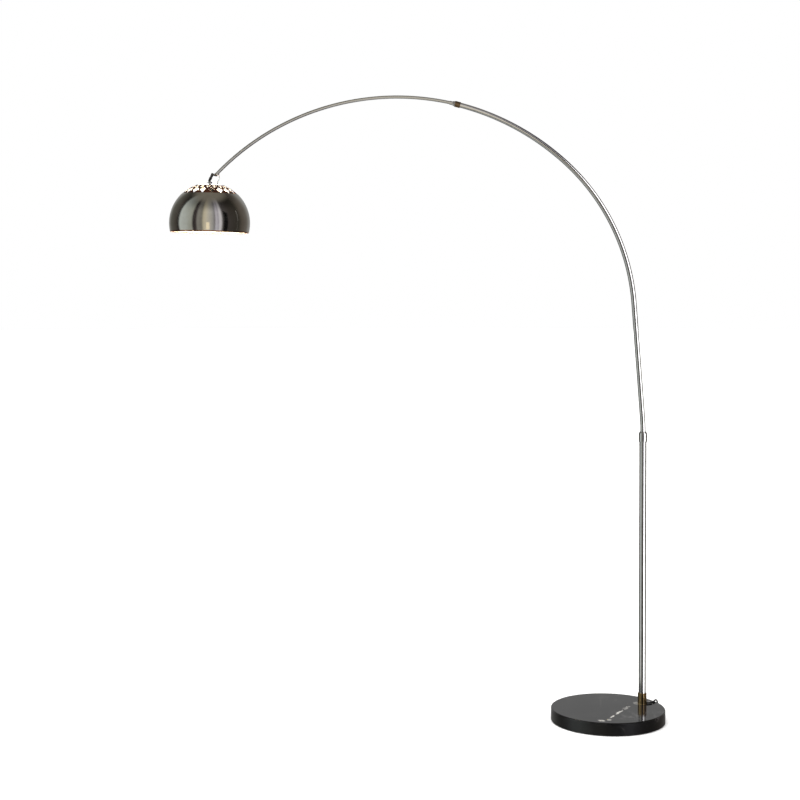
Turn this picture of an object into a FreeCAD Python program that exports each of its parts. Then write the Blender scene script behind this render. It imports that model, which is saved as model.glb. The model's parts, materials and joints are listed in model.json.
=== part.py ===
"""Arc floor lamp: marble disc base, straight post, two-piece bent arm and pierced dome shade.

Millimetres, +Z up. The origin is the centre of the base's underside, +X points from the shade's
side to the post's side and +Y to the back, where the mains cord lies.
"""
import FreeCAD, Part
import math
import os

import Sketcher

Vector = FreeCAD.Vector
Rotation = FreeCAD.Rotation
Placement = FreeCAD.Placement

# ---------------------------------------------------------------------------------- driving sizes
SIZES = {
    # base
    "base_diameter": 350.0,
    "marble_thickness": 38.0,
    "marble_top_round": 3.0,
    "marble_foot_bevel": 1.2,
    "felt_thickness": 2.0,
    "felt_inset": 8.0,
    "post_offset_x": 112.0,
    "post_offset_y": 44.0,
    "recess_diameter": 62.0,
    "recess_depth": 18.0,
    "stud_diameter": 8.0,
    "washer_diameter": 50.0,
    "washer_thickness": 4.0,
    "nut_across_flats": 13.0,
    "nut_height": 6.5,
    "stud_tail": 3.0,
    # fits
    "screw_clearance": 0.05,
    "seat_clearance": 0.05,
    "running_clearance": 0.05,
    "bolt_hole_clearance": 0.5,
    "body_gap": 0.3,
    # post and its foot
    "post_diameter": 22.0,
    "post_wall": 1.5,
    "post_top": 868.0,
    "plug_height": 14.0,
    "spigot_height": 20.0,
    "stud_grip": 12.0,
    "foot_collar_diameter": 28.0,
    "foot_collar_height": 35.0,
    "foot_collar_wall": 2.0,
    "cord_diameter": 5.0,
    "cord_exit_height": 3.2,
    "bush_wall": 0.5,
    "grub_diameter": 4.0,
    "grub_height": 22.0,
    "channel_slack": 1.2,
    # swivel at the top of the post
    "arm_socket_depth": 113.0,
    "liner_length": 30.0,
    "guide_length": 20.0,
    "guide_lift": 8.0,
    "liner_flange": 3.0,
    "shoulder_height": 5.0,
    "shoulder_width": 2.9,
    "lock_collar_diameter": 26.0,
    "lock_collar_top": 888.0,
    "lock_collar_height": 33.0,
    "lock_collar_bevel": 4.5,
    # bent arm, as arcs and one straight run that meet in line
    "arm_diameter": 16.0,
    "arm_wall": 1.5,
    "arm_bend_start": 888.0,
    "first_bend_radius": 600.0,
    "first_bend_angle": 4.4,
    "arm_straight": 352.0,
    "shoulder_bend_radius": 658.0,
    "shoulder_bend_angle": 43.5,
    "reach_radius": 773.0,
    "lower_reach_angle": 28.5,
    "upper_reach_angle": 60.1,
    "reach_insert_angle": 15.0,
    "flex_setback_angle": 0.5,
    "reach_diameter": 10.0,
    "reach_wall": 1.0,
    "slider_length": 16.0,
    # clutch between the two arm tubes
    "clutch_ring_diameter": 18.6,
    "clutch_ring_length": 17.0,
    "clutch_ring_overhang": 3.5,
    "clutch_cone_length": 7.0,
    "clutch_cone_base": 16.6,
    "collet_diameter": 12.0,
    "collet_inside": 30.0,
    "collet_outside": 20.0,
    # arm tip
    "tip_ring_diameter": 11.6,
    "tip_ring_length": 3.0,
    "knuckle_spigot": 5.0,
    "knuckle_face": 2.5,
    "knuckle_thickness": 3.0,
    "knuckle_width": 4.4,
    "pivot_out": 9.5,
    "pivot_up": 2.0,
    "pin_diameter": 3.0,
    "fork_radius": 4.5,
    "fork_width": 9.0,
    "lead_diameter": 2.6,
    "lead_exit_back": 9.0,
    # shade
    "shade_radius": 124.4,
    "shade_wall": 1.0,
    "shade_drop_x": 9.0,
    "shade_drop": 149.7,
    "shade_lean": 1.1,
    "shade_rim_depth": 29.8,
    "shade_crown_edge": 90.0,
    "crown_tuck": 10.0,
    "rim_bead_diameter": 4.0,
    "rim_bead_wrap": 1.0,
    "crown_top_radius": 42.0,
    "cap_radius": 44.0,
    "cap_top": 121.9,
    "cap_curve": 181.9,
    "cap_wall": 1.0,
    "opening_count": 18.0,
    "large_opening_polar": 36.2,
    "large_opening_height": 29.6,
    "large_opening_width": 21.5,
    "small_opening_polar": 25.8,
    "small_opening_height": 20.0,
    "small_opening_width": 14.5,
    "hub_diameter": 20.0,
    "hub_height": 7.0,
    "link_foot_offset": 6.5,
    "link_width": 9.4,
    "lead_entry_offset": 22.0,
    "nipple_diameter": 10.0,
    "nipple_bore": 7.0,
    "holder_top": 108.0,
    "holder_shell_top": 96.0,
    "holder_mouth": 58.0,
    "holder_diameter": 40.0,
    "holder_wall": 2.5,
    "holder_ring_diameter": 50.0,
    "holder_ring_height": 5.0,
    "bulb_diameter": 60.0,
    "bulb_cap_diameter": 26.4,
    "bulb_cap_length": 24.0,
    "bulb_bottom_inset": 10.0,
    "bulb_wall": 1.0,
    # mains cord fittings on the floor behind the base
    "coil_centre_x": -34.0,
    "coil_centre_y": 218.0,
    "coil_turn_radius": 30.0,
    "coil_width_turns": 4.0,
    "coil_layers": 2.0,
    "tie_width": 8.0,
    "tie_thickness": 0.8,
    "switch_length": 76.0,
    "switch_width": 36.0,
    "switch_base_height": 7.0,
    "switch_height": 20.0,
    "switch_distance": 199.0,
    "switch_bearing": 62.0,
    "switch_wall": 2.0,
    "switch_cord_height": 10.2,
    "button_diameter": 22.0,
    "button_proud": 4.0,
    "button_travel": 3.0,
    "plug_length": 36.0,
    "plug_width": 26.0,
    "plug_height_size": 13.8,
    "plug_pin_diameter": 4.0,
    "plug_pin_length": 19.0,
    "plug_pin_spacing": 18.6,
}

# Route of the mains cord from the foot collar over the back edge of the base to the foot switch.
CORD_TO_SWITCH = [
    (126.0, 43.0, 43.2), (134.2, 45.4, 43.0), (141.8, 50.2, 42.8), (148.2, 57.4, 42.8),
    (153.3, 66.6, 43.0), (157.8, 77.5, 43.7), (163.2, 88.3, 41.4), (168.2, 99.7, 33.0),
    (171.0, 112.0, 21.0), (168.5, 124.5, 10.0), (160.5, 135.5, 4.0), (149.0, 144.5, 2.6),
    (138.0, 152.0, 6.0), (124.6, 159.1, 10.2),
]
# Route from the foot switch to where the coil's first turn begins.
CORD_TO_COIL = [
    (62.2, 192.3, 10.2), (50.0, 198.9, 7.0), (38.0, 206.8, 4.4), (25.0, 216.0, 3.4),
    (11.0, 227.0, 3.3), (-2.5, 238.6, 3.3), (-13.5, 248.4, 3.3),
]
# Route from the coil's last turn to the plug.
CORD_TO_PLUG = [
    (-44.0, 254.0, 8.3), (-55.0, 250.0, 7.8), (-66.0, 243.0, 6.8), (-75.0, 233.5, 6.3),
    (-82.5, 223.0, 6.9),
]
# Short lead from the arm's tip into the shade's cap, as offsets along X and Z from the shade pivot.
LEAD_OFFSETS = [(19.3, 1.2), (21.6, -5.6), (20.8, -13.4), (17.0, -20.4), (15.3, -27.7)]

doc = FreeCAD.newDocument("ArcFloorLamp")
sheet = doc.addObject("Spreadsheet::Sheet", "Sizes")
for row, (alias, value) in enumerate(SIZES.items(), start=1):
    sheet.set("A%d" % row, alias.replace("_", " "))
    sheet.set("B%d" % row, str(value))
    sheet.setAlias("B%d" % row, alias)
doc.recompute()

SUB_PARTS = []


def size(alias):
    """The value in the sheet's cell with this alias."""
    return float(getattr(sheet, alias))


def bind(thing, **expressions):
    """Tie properties of an object to expressions on the sheet."""
    for name, expression in expressions.items():
        thing.setExpression(name, expression)
    return thing


def sheeted(expression):
    """Write the sheet's name before each alias in an expression."""
    words = []
    for word in expression.split():
        words.append("Sizes." + word if word in SIZES else word)
    return " ".join(words)


def worth(expression):
    """The number that an expression of aliases and plain numbers has now."""
    total = FreeCAD.Units.Quantity(str(sheet.evalExpression(sheeted(expression))))
    return float(total.Value)


# ---------------------------------------------------------------------------- modelling functions
def keep(label, piece, placement=None):
    """Name a finished object as a sub-part and put it in its place."""
    piece.Label = label
    if placement is not None:
        piece.Placement = placement
    SUB_PARTS.append(piece)
    return piece


def rod(name, radius, length, placement=None):
    """Round bar along its local Z, its radius and length given as expressions."""
    piece = doc.addObject("Part::Cylinder", name)
    bind(piece, Radius=sheeted(radius), Height=sheeted(length))
    if placement is not None:
        piece.Placement = placement
    return piece


def block(name, length, width, height, placement=None):
    """Box from its own corner, sizes given as expressions."""
    piece = doc.addObject("Part::Box", name)
    bind(piece, Length=sheeted(length), Width=sheeted(width), Height=sheeted(height))
    if placement is not None:
        piece.Placement = placement
    return piece


def ball(name, radius, placement=None):
    """Full ball, its radius given as an expression."""
    piece = doc.addObject("Part::Sphere", name)
    bind(piece, Radius=sheeted(radius))
    if placement is not None:
        piece.Placement = placement
    return piece


def cut(name, base, *tools):
    """Base without each of the tools."""
    for number, tool in enumerate(tools):
        piece = doc.addObject("Part::Cut", "%s_cut%d" % (name, number))
        piece.Base = base
        piece.Tool = tool
        base = piece
    return base


def fuse(name, *pieces):
    """One solid made of all the pieces."""
    piece = doc.addObject("Part::MultiFuse", name + "_whole")
    piece.Shapes = list(pieces)
    return piece


def common(name, base, tool):
    """What two solids share."""
    piece = doc.addObject("Part::Common", name + "_common")
    piece.Base = base
    piece.Tool = tool
    return piece


def tube(name, outer, inner, length, placement=None):
    """Straight tube along its local Z."""
    start = placement or Placement()
    inside = start.multiply(Placement(Vector(0, 0, -1), Rotation()))
    outside = rod(name + "_outer", outer, length, start)
    return cut(name, outside, rod(name + "_bore", inner, length + " + 2", inside))


def arc_rod(name, radius, start_degrees, sweep):
    """Round bar bent to the reach arc, from a heading and over an angle given as an expression."""
    piece = doc.addObject("Part::Torus", name)
    bind(piece, Radius1=sheeted("reach_radius"), Radius2=sheeted(radius), Angle3=sheeted(sweep))
    piece.Placement = Placement(REACH_CENTRE, ARC_PLANE.multiply(Rotation(Vector(0, 0, 1), start_degrees)))
    return piece


def arc_tube(name, outer, inner, start_degrees, sweep):
    """Tube bent to the reach arc. Its bore runs a degree past both ends."""
    outside = arc_rod(name + "_outer", outer, start_degrees, sweep)
    inside = arc_rod(name + "_bore", inner, start_degrees - 1, sweep + " + 2")
    return cut(name, outside, inside)


def origin_feature(body, role):
    """One of a body's own origin planes or axes."""
    for feature in body.Origin.OriginFeatures:
        if feature.Role == role:
            return feature
    raise ValueError(role)


def turned(label, profile, placement=None):
    """Body turned about its local Z from corners given as pairs of radius and height expressions.

    A radius or height of "0" lies on the axis or on the ground line.
    """
    body = doc.addObject("PartDesign::Body", label + "_body")
    sketch = body.newObject("Sketcher::SketchObject", label + "_profile")
    sketch.AttachmentSupport = [(origin_feature(body, "XZ_Plane"), "")]
    sketch.MapMode = "FlatFace"
    corners = [(worth(r), worth(z)) for r, z in profile]
    count = len(corners)
    for index in range(count):
        here, there = corners[index], corners[(index + 1) % count]
        line = Part.LineSegment(Vector(here[0], here[1], 0), Vector(there[0], there[1], 0))
        sketch.addGeometry(line, False)
    for index in range(count):
        sketch.addConstraint(Sketcher.Constraint("Coincident", index, 2, (index + 1) % count, 1))
    for index, (radius, height) in enumerate(profile):
        for kind, axis, expression, value in (
            ("DistanceX", -2, radius, corners[index][0]),
            ("DistanceY", -1, height, corners[index][1]),
        ):
            if expression == "0":
                sketch.addConstraint(Sketcher.Constraint("PointOnObject", index, 1, axis))
                continue
            number = sketch.addConstraint(Sketcher.Constraint(kind, -1, 1, index, 1, value))
            sketch.setExpression("Constraints[%d]" % number, sheeted(expression))
    doc.recompute()
    turn = body.newObject("PartDesign::Revolution", label + "_turn")
    turn.Profile = sketch
    turn.ReferenceAxis = (sketch, ["V_Axis"])
    turn.Angle = 360.0
    sketch.Visibility = False
    if placement is not None:
        body.Placement = placement
    return body


def rounded_route(points, share=0.45):
    """Wire through a route's points: straight runs joined by the largest tangent arcs that fit."""
    points = [Vector(*point) for point in points]
    edges = []
    radii = []
    last = points[0]
    for before, corner, after in zip(points, points[1:], points[2:]):
        back = before.sub(corner)
        ahead = after.sub(corner)
        shorter = min(back.Length, ahead.Length)
        half_turn = (math.pi - back.getAngle(ahead)) / 2
        reach = share * shorter
        radii.append(reach / math.tan(half_turn))
        start = corner.add(back.normalize().multiply(reach))
        end = corner.add(ahead.normalize().multiply(reach))
        inward = back.add(ahead).normalize()
        centre_distance = radii[-1] / math.cos(half_turn)
        middle = corner.add(inward.multiply(centre_distance - radii[-1]))
        edges.append(Part.LineSegment(last, start).toShape())
        edges.append(Part.Arc(start, middle, end).toShape())
        last = end
    edges.append(Part.LineSegment(last, points[-1]).toShape())
    return Part.Wire(edges), radii


def flexible(label, points, diameter_alias):
    """Solid of a flexible lead along a route."""
    wire, radii = rounded_route(points)
    radius = size(diameter_alias) / 2
    start = Vector(*points[0])
    heading = Vector(*points[1]).sub(start)
    ring = Part.Wire([Part.makeCircle(radius, start, heading)])
    solid = wire.makePipeShell([ring], True, False)
    expected = math.pi * radius ** 2 * wire.Length
    tightest = min(radii) if radii else 0.0
    print("%s: length %.1f, volume ratio %.4f, tightest radius %.1f" % (
        label, wire.Length, solid.Volume / expected, tightest))
    print("   radii " + " ".join("%.0f" % value for value in radii))
    piece = doc.addObject("Part::Feature", label + "_solid")
    piece.Shape = solid
    return keep(label, piece, Placement())


def at(x=0.0, y=0.0, z=0.0, rotation=None):
    """Placement at a point, turned if a rotation is given."""
    return Placement(Vector(x, y, z), rotation or Rotation())


def facing(point, direction):
    """Placement at a point with local Z along a direction."""
    return Placement(point, Rotation(Vector(0, 0, 1), direction))


# ------------------------------------------------------------------------------ the lamp's places
POST_X = size("post_offset_x")
POST_Y = size("post_offset_y")
MARBLE_BOTTOM = size("felt_thickness")
MARBLE_TOP = MARBLE_BOTTOM + size("marble_thickness")
RECESS_TOP = MARBLE_BOTTOM + size("recess_depth")
PLUG_TOP = MARBLE_TOP + size("plug_height")
CORD_RADIUS = size("cord_diameter") / 2
# Where the bulb's ball runs into its neck, as an angle above its middle, and the cap's height
# above the lampholder's mouth.
NECK_DEGREES = 38.0
BULB_CAP_LIFT = 3.0
# Turns that lay a rod's own Z along the lamp's X, its back and its front.
TO_RIGHT = Rotation(Vector(0, 1, 0), 90)
TO_BACK = Rotation(Vector(1, 0, 0), -90)
TO_FRONT = Rotation(Vector(1, 0, 0), 90)
# How far cutting tools run past what they cut.
OVERRUN = 1.0
# Height of the lock collar's grub screw above the collar's lower edge.
LOCK_GRUB_LIFT = 9.0
# Turns a length along the reach arc into degrees, in an expression.
LENGTH_TO_DEGREES = " / reach_radius * 180 / pi"
# The arc plane's local X and Y lie along the lamp's X and Z.
ARC_PLANE = Rotation(Vector(1, 0, 0), 90)


def heading_vector(degrees):
    """Direction of travel along the arm: straight up at 0, towards the shade's side at 90."""
    angle = math.radians(degrees)
    return Vector(-math.sin(angle), 0, math.cos(angle))


def outward(degrees):
    """Direction from the bend's centre to the arm at a heading."""
    angle = math.radians(degrees)
    return Vector(math.cos(angle), 0, math.sin(angle))


def bend_from(point, degrees, radius):
    """Centre of a bend that leaves a point at a heading."""
    return point.sub(outward(degrees).multiply(radius))


HEADING_1 = size("first_bend_angle")
HEADING_2 = HEADING_1 + size("shoulder_bend_angle")
HEADING_RING = HEADING_2 + size("lower_reach_angle")
HEADING_TIP = HEADING_RING + size("upper_reach_angle")

ARM_START = Vector(POST_X, POST_Y, size("arm_bend_start"))
CENTRE_1 = bend_from(ARM_START, 0, size("first_bend_radius"))
BEND_1_END = CENTRE_1.add(outward(HEADING_1).multiply(size("first_bend_radius")))
STRAIGHT_END = BEND_1_END.add(heading_vector(HEADING_1).multiply(size("arm_straight")))
CENTRE_2 = bend_from(STRAIGHT_END, HEADING_1, size("shoulder_bend_radius"))
BEND_2_END = CENTRE_2.add(outward(HEADING_2).multiply(size("shoulder_bend_radius")))
REACH_CENTRE = bend_from(BEND_2_END, HEADING_2, size("reach_radius"))


def on_reach(degrees):
    """Point of the reach arc at a heading."""
    return REACH_CENTRE.add(outward(degrees).multiply(size("reach_radius")))


def reach_degrees(length):
    """Angle on the reach arc of a length along it."""
    return math.degrees(length / size("reach_radius"))


def along_reach(degrees, length=0.0):
    """Placement on the reach arc with local Z along the arm."""
    heading = degrees + reach_degrees(length)
    return facing(on_reach(heading), heading_vector(heading))


TIP = on_reach(HEADING_TIP)
TIP_OUT = heading_vector(HEADING_TIP)
PIVOT = TIP.add(Vector(-size("pivot_out"), 0, size("pivot_up")))
SHADE = PIVOT.add(Vector(-size("shade_drop_x"), 0, -size("shade_drop")))
SHADE_FRAME = Placement(SHADE, Rotation(Vector(0, 1, 0), size("shade_lean")))


def in_shade(x=0.0, y=0.0, z=0.0, rotation=None):
    """Placement in the shade's own frame, whose origin is the dome's centre."""
    return SHADE_FRAME.multiply(at(x, y, z, rotation))


def round_edges(body, name, kind, amount, chosen):
    """Fillet or chamfer on the edges of a body's tip that pass a test."""
    doc.recompute()
    base = body.Tip
    names = ["Edge%d" % (n + 1) for n, edge in enumerate(base.Shape.Edges) if chosen(edge)]
    feature = body.newObject("PartDesign::" + kind, name)
    feature.Base = (base, names)
    bind(feature, **{"Radius" if kind == "Fillet" else "Size": sheeted(amount)})
    return feature


def circle_at(height, radius):
    """Test for a full circle of a radius at a height."""
    def chosen(edge):
        curve = edge.Curve
        if not hasattr(curve, "Radius") or abs(curve.Radius - radius) > 0.01:
            return False
        return abs(curve.Center.z - height) < 0.01
    return chosen


# ------------------------------------------------------------------------------------- base group
def build_base():
    """Felt, marble disc and the stud, washer and nut that clamp the post to it."""
    disc = rod("felt_disc", "base_diameter / 2 - felt_inset", "felt_thickness")
    access = rod("felt_access", "recess_diameter / 2 + 3", "felt_thickness + 2", at(POST_X, POST_Y, -1))
    keep("felt_pad", cut("felt", disc, access))

    stone = turned("marble", [
        ("0", "0"), ("base_diameter / 2", "0"), ("base_diameter / 2", "marble_thickness"),
        ("0", "marble_thickness"),
    ])
    edge_radius = size("base_diameter") / 2
    round_edges(stone, "marble_top_edge", "Fillet", "marble_top_round",
                circle_at(size("marble_thickness"), edge_radius))
    round_edges(stone, "marble_foot_edge", "Chamfer", "marble_foot_bevel", circle_at(0, edge_radius))
    stone.Placement = at(z=MARBLE_BOTTOM)
    recess = rod("marble_recess", "recess_diameter / 2", "recess_depth + 1",
                 at(POST_X, POST_Y, MARBLE_BOTTOM - OVERRUN))
    hole = rod("marble_hole", "stud_diameter / 2 + bolt_hole_clearance", "marble_thickness + 2",
               at(POST_X, POST_Y, MARBLE_BOTTOM - OVERRUN))
    keep("marble_base", cut("marble_base", stone, recess, hole))

    washer_bottom = RECESS_TOP - size("washer_thickness")
    keep("clamp_washer", tube("clamp_washer", "washer_diameter / 2",
                              "stud_diameter / 2 + bolt_hole_clearance",
                              "washer_thickness", at(POST_X, POST_Y, washer_bottom)))
    nut_bottom = washer_bottom - size("nut_height")
    hexagon = doc.addObject("Part::Prism", "nut_hexagon")
    hexagon.Polygon = 6
    bind(hexagon, Circumradius=sheeted("nut_across_flats / 2 / cos(30)"), Height=sheeted("nut_height"))
    hexagon.Placement = at(POST_X, POST_Y, nut_bottom)
    bore = rod("nut_bore", "stud_diameter / 2 + screw_clearance", "nut_height + 2",
               at(POST_X, POST_Y, nut_bottom - OVERRUN))
    keep("clamp_nut", cut("clamp_nut", hexagon, bore))
    stud_bottom = nut_bottom - size("stud_tail")
    keep("tie_stud", rod(
        "tie_stud", "stud_diameter / 2",
        "stud_tail + nut_height + washer_thickness + marble_thickness - recess_depth + stud_grip",
        at(POST_X, POST_Y, stud_bottom)))


def build_foot():
    """Plug that closes the post's lower end, brass collar round it, cord bush and grub screw."""
    foot = at(POST_X, POST_Y, MARBLE_TOP)
    collar_bore = "foot_collar_diameter / 2 - foot_collar_wall"
    plug = turned("plug", [
        ("0", "0"), (collar_bore + " - seat_clearance", "0"),
        (collar_bore + " - seat_clearance", "plug_height"),
        ("post_diameter / 2 - post_wall - seat_clearance", "plug_height"),
        ("post_diameter / 2 - post_wall - seat_clearance", "plug_height + spigot_height"),
        ("0", "plug_height + spigot_height"),
    ], foot)
    socket = rod("plug_socket", "stud_diameter / 2 + screw_clearance", "stud_grip + 1",
                 at(POST_X, POST_Y, MARBLE_TOP - 1))
    channel = block("plug_channel", "foot_collar_diameter / 2", "cord_diameter + channel_slack",
                    "plug_height + spigot_height + 2",
                    at(POST_X + size("stud_diameter") / 2 + 0.3,
                       POST_Y - CORD_RADIUS - size("channel_slack") / 2, MARBLE_TOP - 1))
    keep("foot_plug", cut("foot_plug", plug, socket, channel))

    outer = "foot_collar_diameter / 2"
    post_bore = "post_diameter / 2 + seat_clearance"
    collar = turned("collar", [
        (collar_bore, "0"), (outer, "0"), (outer, "1.5"), (outer + " - 0.3", "2.2"),
        (outer + " - 0.5", "foot_collar_height - 4.2"), (outer + " - 1.1", "foot_collar_height - 3.7"),
        (outer + " - 1.1", "foot_collar_height - 3.2"), (outer + " - 0.4", "foot_collar_height - 2.7"),
        (outer + " - 0.4", "foot_collar_height - 0.8"), (outer + " - 1.2", "foot_collar_height"),
        (post_bore, "foot_collar_height"), (post_bore, "plug_height"), (collar_bore, "plug_height"),
    ], foot)
    bush_radius = "cord_diameter / 2 + bush_wall"
    mouth = rod("collar_mouth", bush_radius + " + seat_clearance", "foot_collar_diameter / 2 + 2",
                at(POST_X, POST_Y, MARBLE_TOP + size("cord_exit_height"), TO_RIGHT))
    grub_hole = rod("collar_grub_hole", "grub_diameter / 2 + screw_clearance",
                    "foot_collar_diameter / 2 + 1",
                    at(POST_X, POST_Y, MARBLE_TOP + size("grub_height"), TO_BACK))
    keep("foot_collar", cut("foot_collar", collar, mouth, grub_hole))

    grub_start = size("post_diameter") / 2 + size("seat_clearance")
    keep("foot_grub_screw", rod(
        "foot_grub_screw", "grub_diameter / 2", "foot_collar_diameter / 2 - post_diameter / 2 - 0.8",
        at(POST_X, POST_Y + grub_start, MARBLE_TOP + size("grub_height"), TO_BACK)))
    bush_start = size("foot_collar_diameter") / 2 - size("foot_collar_wall")
    keep("cord_bush", tube("cord_bush", bush_radius, "cord_diameter / 2 + 0.05", "foot_collar_wall + 1",
                           at(POST_X + bush_start, POST_Y, MARBLE_TOP + size("cord_exit_height"), TO_RIGHT)))


def build_post():
    """Post tube, the two liners that the arm turns in, and the lock collar over its top."""
    keep("post_tube", tube("post_tube", "post_diameter / 2", "post_diameter / 2 - post_wall",
                           "post_top - marble_thickness - felt_thickness - plug_height",
                           at(POST_X, POST_Y, PLUG_TOP)))
    liner_outer = "post_diameter / 2 - post_wall - seat_clearance"
    arm_bore = "arm_diameter / 2 + running_clearance"
    liner_bottom = size("post_top") - size("liner_length")
    keep("swivel_liner", turned("swivel_liner", [
        (arm_bore, "0"), (liner_outer, "0"), (liner_outer, "liner_length"),
        ("post_diameter / 2", "liner_length"),
        ("post_diameter / 2", "liner_length + liner_flange"), (arm_bore, "liner_length + liner_flange"),
    ], at(POST_X, POST_Y, liner_bottom)))
    guide_bottom = size("arm_bend_start") - size("arm_socket_depth") + size("guide_lift")
    keep("swivel_guide", tube("swivel_guide", liner_outer, arm_bore, "guide_length",
                              at(POST_X, POST_Y, guide_bottom)))

    collar_bottom = size("lock_collar_top") - size("lock_collar_height")
    outer = "lock_collar_diameter / 2"
    post_bore = "post_diameter / 2 + seat_clearance"
    cavity = "post_diameter / 2 + body_gap + 0.1"
    cavity_start = "post_top - lock_collar_top + lock_collar_height"
    cavity_end = cavity_start + " + liner_flange + shoulder_height + body_gap * 2"
    collar = turned("lock_collar", [
        (post_bore, "0"), (outer + " - 1.4", "0"), (outer + " - 0.3", "1.6"), (outer, "5"),
        (outer, "lock_collar_height - lock_collar_bevel - 2"),
        (outer + " - 0.4", "lock_collar_height - lock_collar_bevel"),
        (outer + " - 3.4", "lock_collar_height"), ("arm_diameter / 2 + body_gap + 0.1", "lock_collar_height"),
        ("arm_diameter / 2 + body_gap + 0.1", cavity_end), (cavity, cavity_end), (cavity, cavity_start),
        (post_bore, cavity_start),
    ], at(POST_X, POST_Y, collar_bottom))
    grub_z = collar_bottom + LOCK_GRUB_LIFT
    hole = rod("lock_grub_hole", "grub_diameter / 2 + screw_clearance", "lock_collar_diameter / 2 + 1",
               at(POST_X, POST_Y, grub_z, TO_BACK))
    keep("lock_collar", cut("lock_collar_bored", collar, hole))
    keep("lock_grub_screw", rod(
        "lock_grub_screw", "grub_diameter / 2", "lock_collar_diameter / 2 - post_diameter / 2 - 0.3",
        at(POST_X, POST_Y + size("post_diameter") / 2 + size("seat_clearance"), grub_z, TO_BACK)))


# -------------------------------------------------------------------------------------- arm group
def arm_path(body, name, end_heading):
    """Sketch of the lower arm's centre line, up to a heading, in the body's own XZ plane."""
    sketch = body.newObject("Sketcher::SketchObject", name)
    sketch.AttachmentSupport = [(origin_feature(body, "XZ_Plane"), "")]
    sketch.MapMode = "FlatFace"
    foot = ARM_START.sub(Vector(0, 0, size("arm_socket_depth")))

    def flat(point):
        return Vector(point.x - foot.x, point.z - foot.z, 0)

    def bend(centre, start, end, radius_alias):
        circle = Part.Circle(flat(centre), Vector(0, 0, 1), size(radius_alias))
        return Part.ArcOfCircle(circle, math.radians(start), math.radians(end))

    sketch.addGeometry([
        Part.LineSegment(flat(foot), flat(ARM_START)),
        bend(CENTRE_1, 0, HEADING_1, "first_bend_radius"),
        Part.LineSegment(flat(BEND_1_END), flat(STRAIGHT_END)),
        bend(CENTRE_2, HEADING_1, HEADING_2, "shoulder_bend_radius"),
        bend(REACH_CENTRE, HEADING_2, end_heading, "reach_radius"),
    ], False)
    constrain = sketch.addConstraint
    constrain(Sketcher.Constraint("Coincident", 0, 1, -1, 1))
    constrain(Sketcher.Constraint("PointOnObject", 0, 2, -2))
    for first, second in ((0, 1), (1, 2)):
        constrain(Sketcher.Constraint("Tangent", first, 2, second, 1))
    for first, second in ((2, 3), (3, 4)):
        constrain(Sketcher.Constraint("Tangent", first, 2, second, 1))
    for geometry, kind, expression in (
        (0, "Distance", "arm_socket_depth"), (1, "Radius", "first_bend_radius"),
        (2, "Distance", "arm_straight"),
        (3, "Radius", "shoulder_bend_radius"), (4, "Radius", "reach_radius"),
    ):
        number = constrain(Sketcher.Constraint(kind, geometry, worth(expression)))
        sketch.setExpression("Constraints[%d]" % number, sheeted(expression))
    return sketch, foot


def bent_arm(label, radii, end_heading):
    """Body swept along the lower arm's centre line, with a circle for each radius expression."""
    body = doc.addObject("PartDesign::Body", label + "_body")
    path, foot = arm_path(body, label + "_path", end_heading)
    ring = body.newObject("Sketcher::SketchObject", label + "_ring")
    ring.AttachmentSupport = [(origin_feature(body, "XY_Plane"), "")]
    ring.MapMode = "FlatFace"
    for expression in radii:
        outline = Part.Circle(Vector(0, 0, 0), Vector(0, 0, 1), worth(expression))
        circle = ring.addGeometry(outline, False)
        ring.addConstraint(Sketcher.Constraint("Coincident", circle, 3, -1, 1))
        number = ring.addConstraint(Sketcher.Constraint("Radius", circle, worth(expression)))
        ring.setExpression("Constraints[%d]" % number, sheeted(expression))
    doc.recompute()
    pipe = body.newObject("PartDesign::AdditivePipe", label + "_pipe")
    pipe.Profile = ring
    pipe.Spine = (path, [])
    pipe.Transition = "Transformed"
    keep(label, body, Placement(foot, Rotation()))


def build_lower_arm():
    """Thick bent tube that turns in the post, its shoulder ring and the clutch at its upper end."""
    bent_arm("lower_arm_tube", ["arm_diameter / 2", "arm_diameter / 2 - arm_wall"], HEADING_RING)

    shoulder_bottom = size("post_top") + size("liner_flange") + size("body_gap")
    keep("shoulder_ring", tube("shoulder_ring", "arm_diameter / 2 + shoulder_width", "arm_diameter / 2",
                               "shoulder_height", at(POST_X, POST_Y, shoulder_bottom)))

    ring_back = size("clutch_ring_length") - size("clutch_ring_overhang")
    back_degrees = HEADING_RING - reach_degrees(ring_back)
    ring_frame = along_reach(HEADING_RING, -ring_back)
    outside = rod("clutch_ring_outside", "clutch_ring_diameter / 2", "clutch_ring_length", ring_frame)
    seat = arc_rod("clutch_ring_seat", "arm_diameter / 2", back_degrees - 1,
                   "( clutch_ring_length - clutch_ring_overhang )" + LENGTH_TO_DEGREES + " + 1")
    throat = arc_rod("clutch_ring_throat", "collet_diameter / 2", back_degrees - 1,
                     "clutch_ring_length" + LENGTH_TO_DEGREES + " + 2")
    keep("clutch_ring", cut("clutch_ring", outside, seat, throat))

    cone = doc.addObject("Part::Cone", "clutch_cone_outside")
    bind(cone, Radius1=sheeted("clutch_cone_base / 2"), Radius2=sheeted("collet_diameter / 2 + 0.6"),
         Height=sheeted("clutch_cone_length"))
    cone.Placement = ring_frame.multiply(at(z=size("clutch_ring_length")))
    cone_bore = arc_rod("clutch_cone_bore", "collet_diameter / 2", HEADING_RING - 1,
                        "( clutch_ring_overhang + clutch_cone_length )" + LENGTH_TO_DEGREES + " + 2")
    keep("clutch_cone", cut("clutch_cone", cone, cone_bore))

    collet_start = HEADING_RING - reach_degrees(size("collet_inside"))
    keep("clutch_collet", arc_tube("clutch_collet", "collet_diameter / 2",
                                   "reach_diameter / 2 + running_clearance", collet_start,
                                   "( collet_inside + collet_outside )" + LENGTH_TO_DEGREES))


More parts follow.
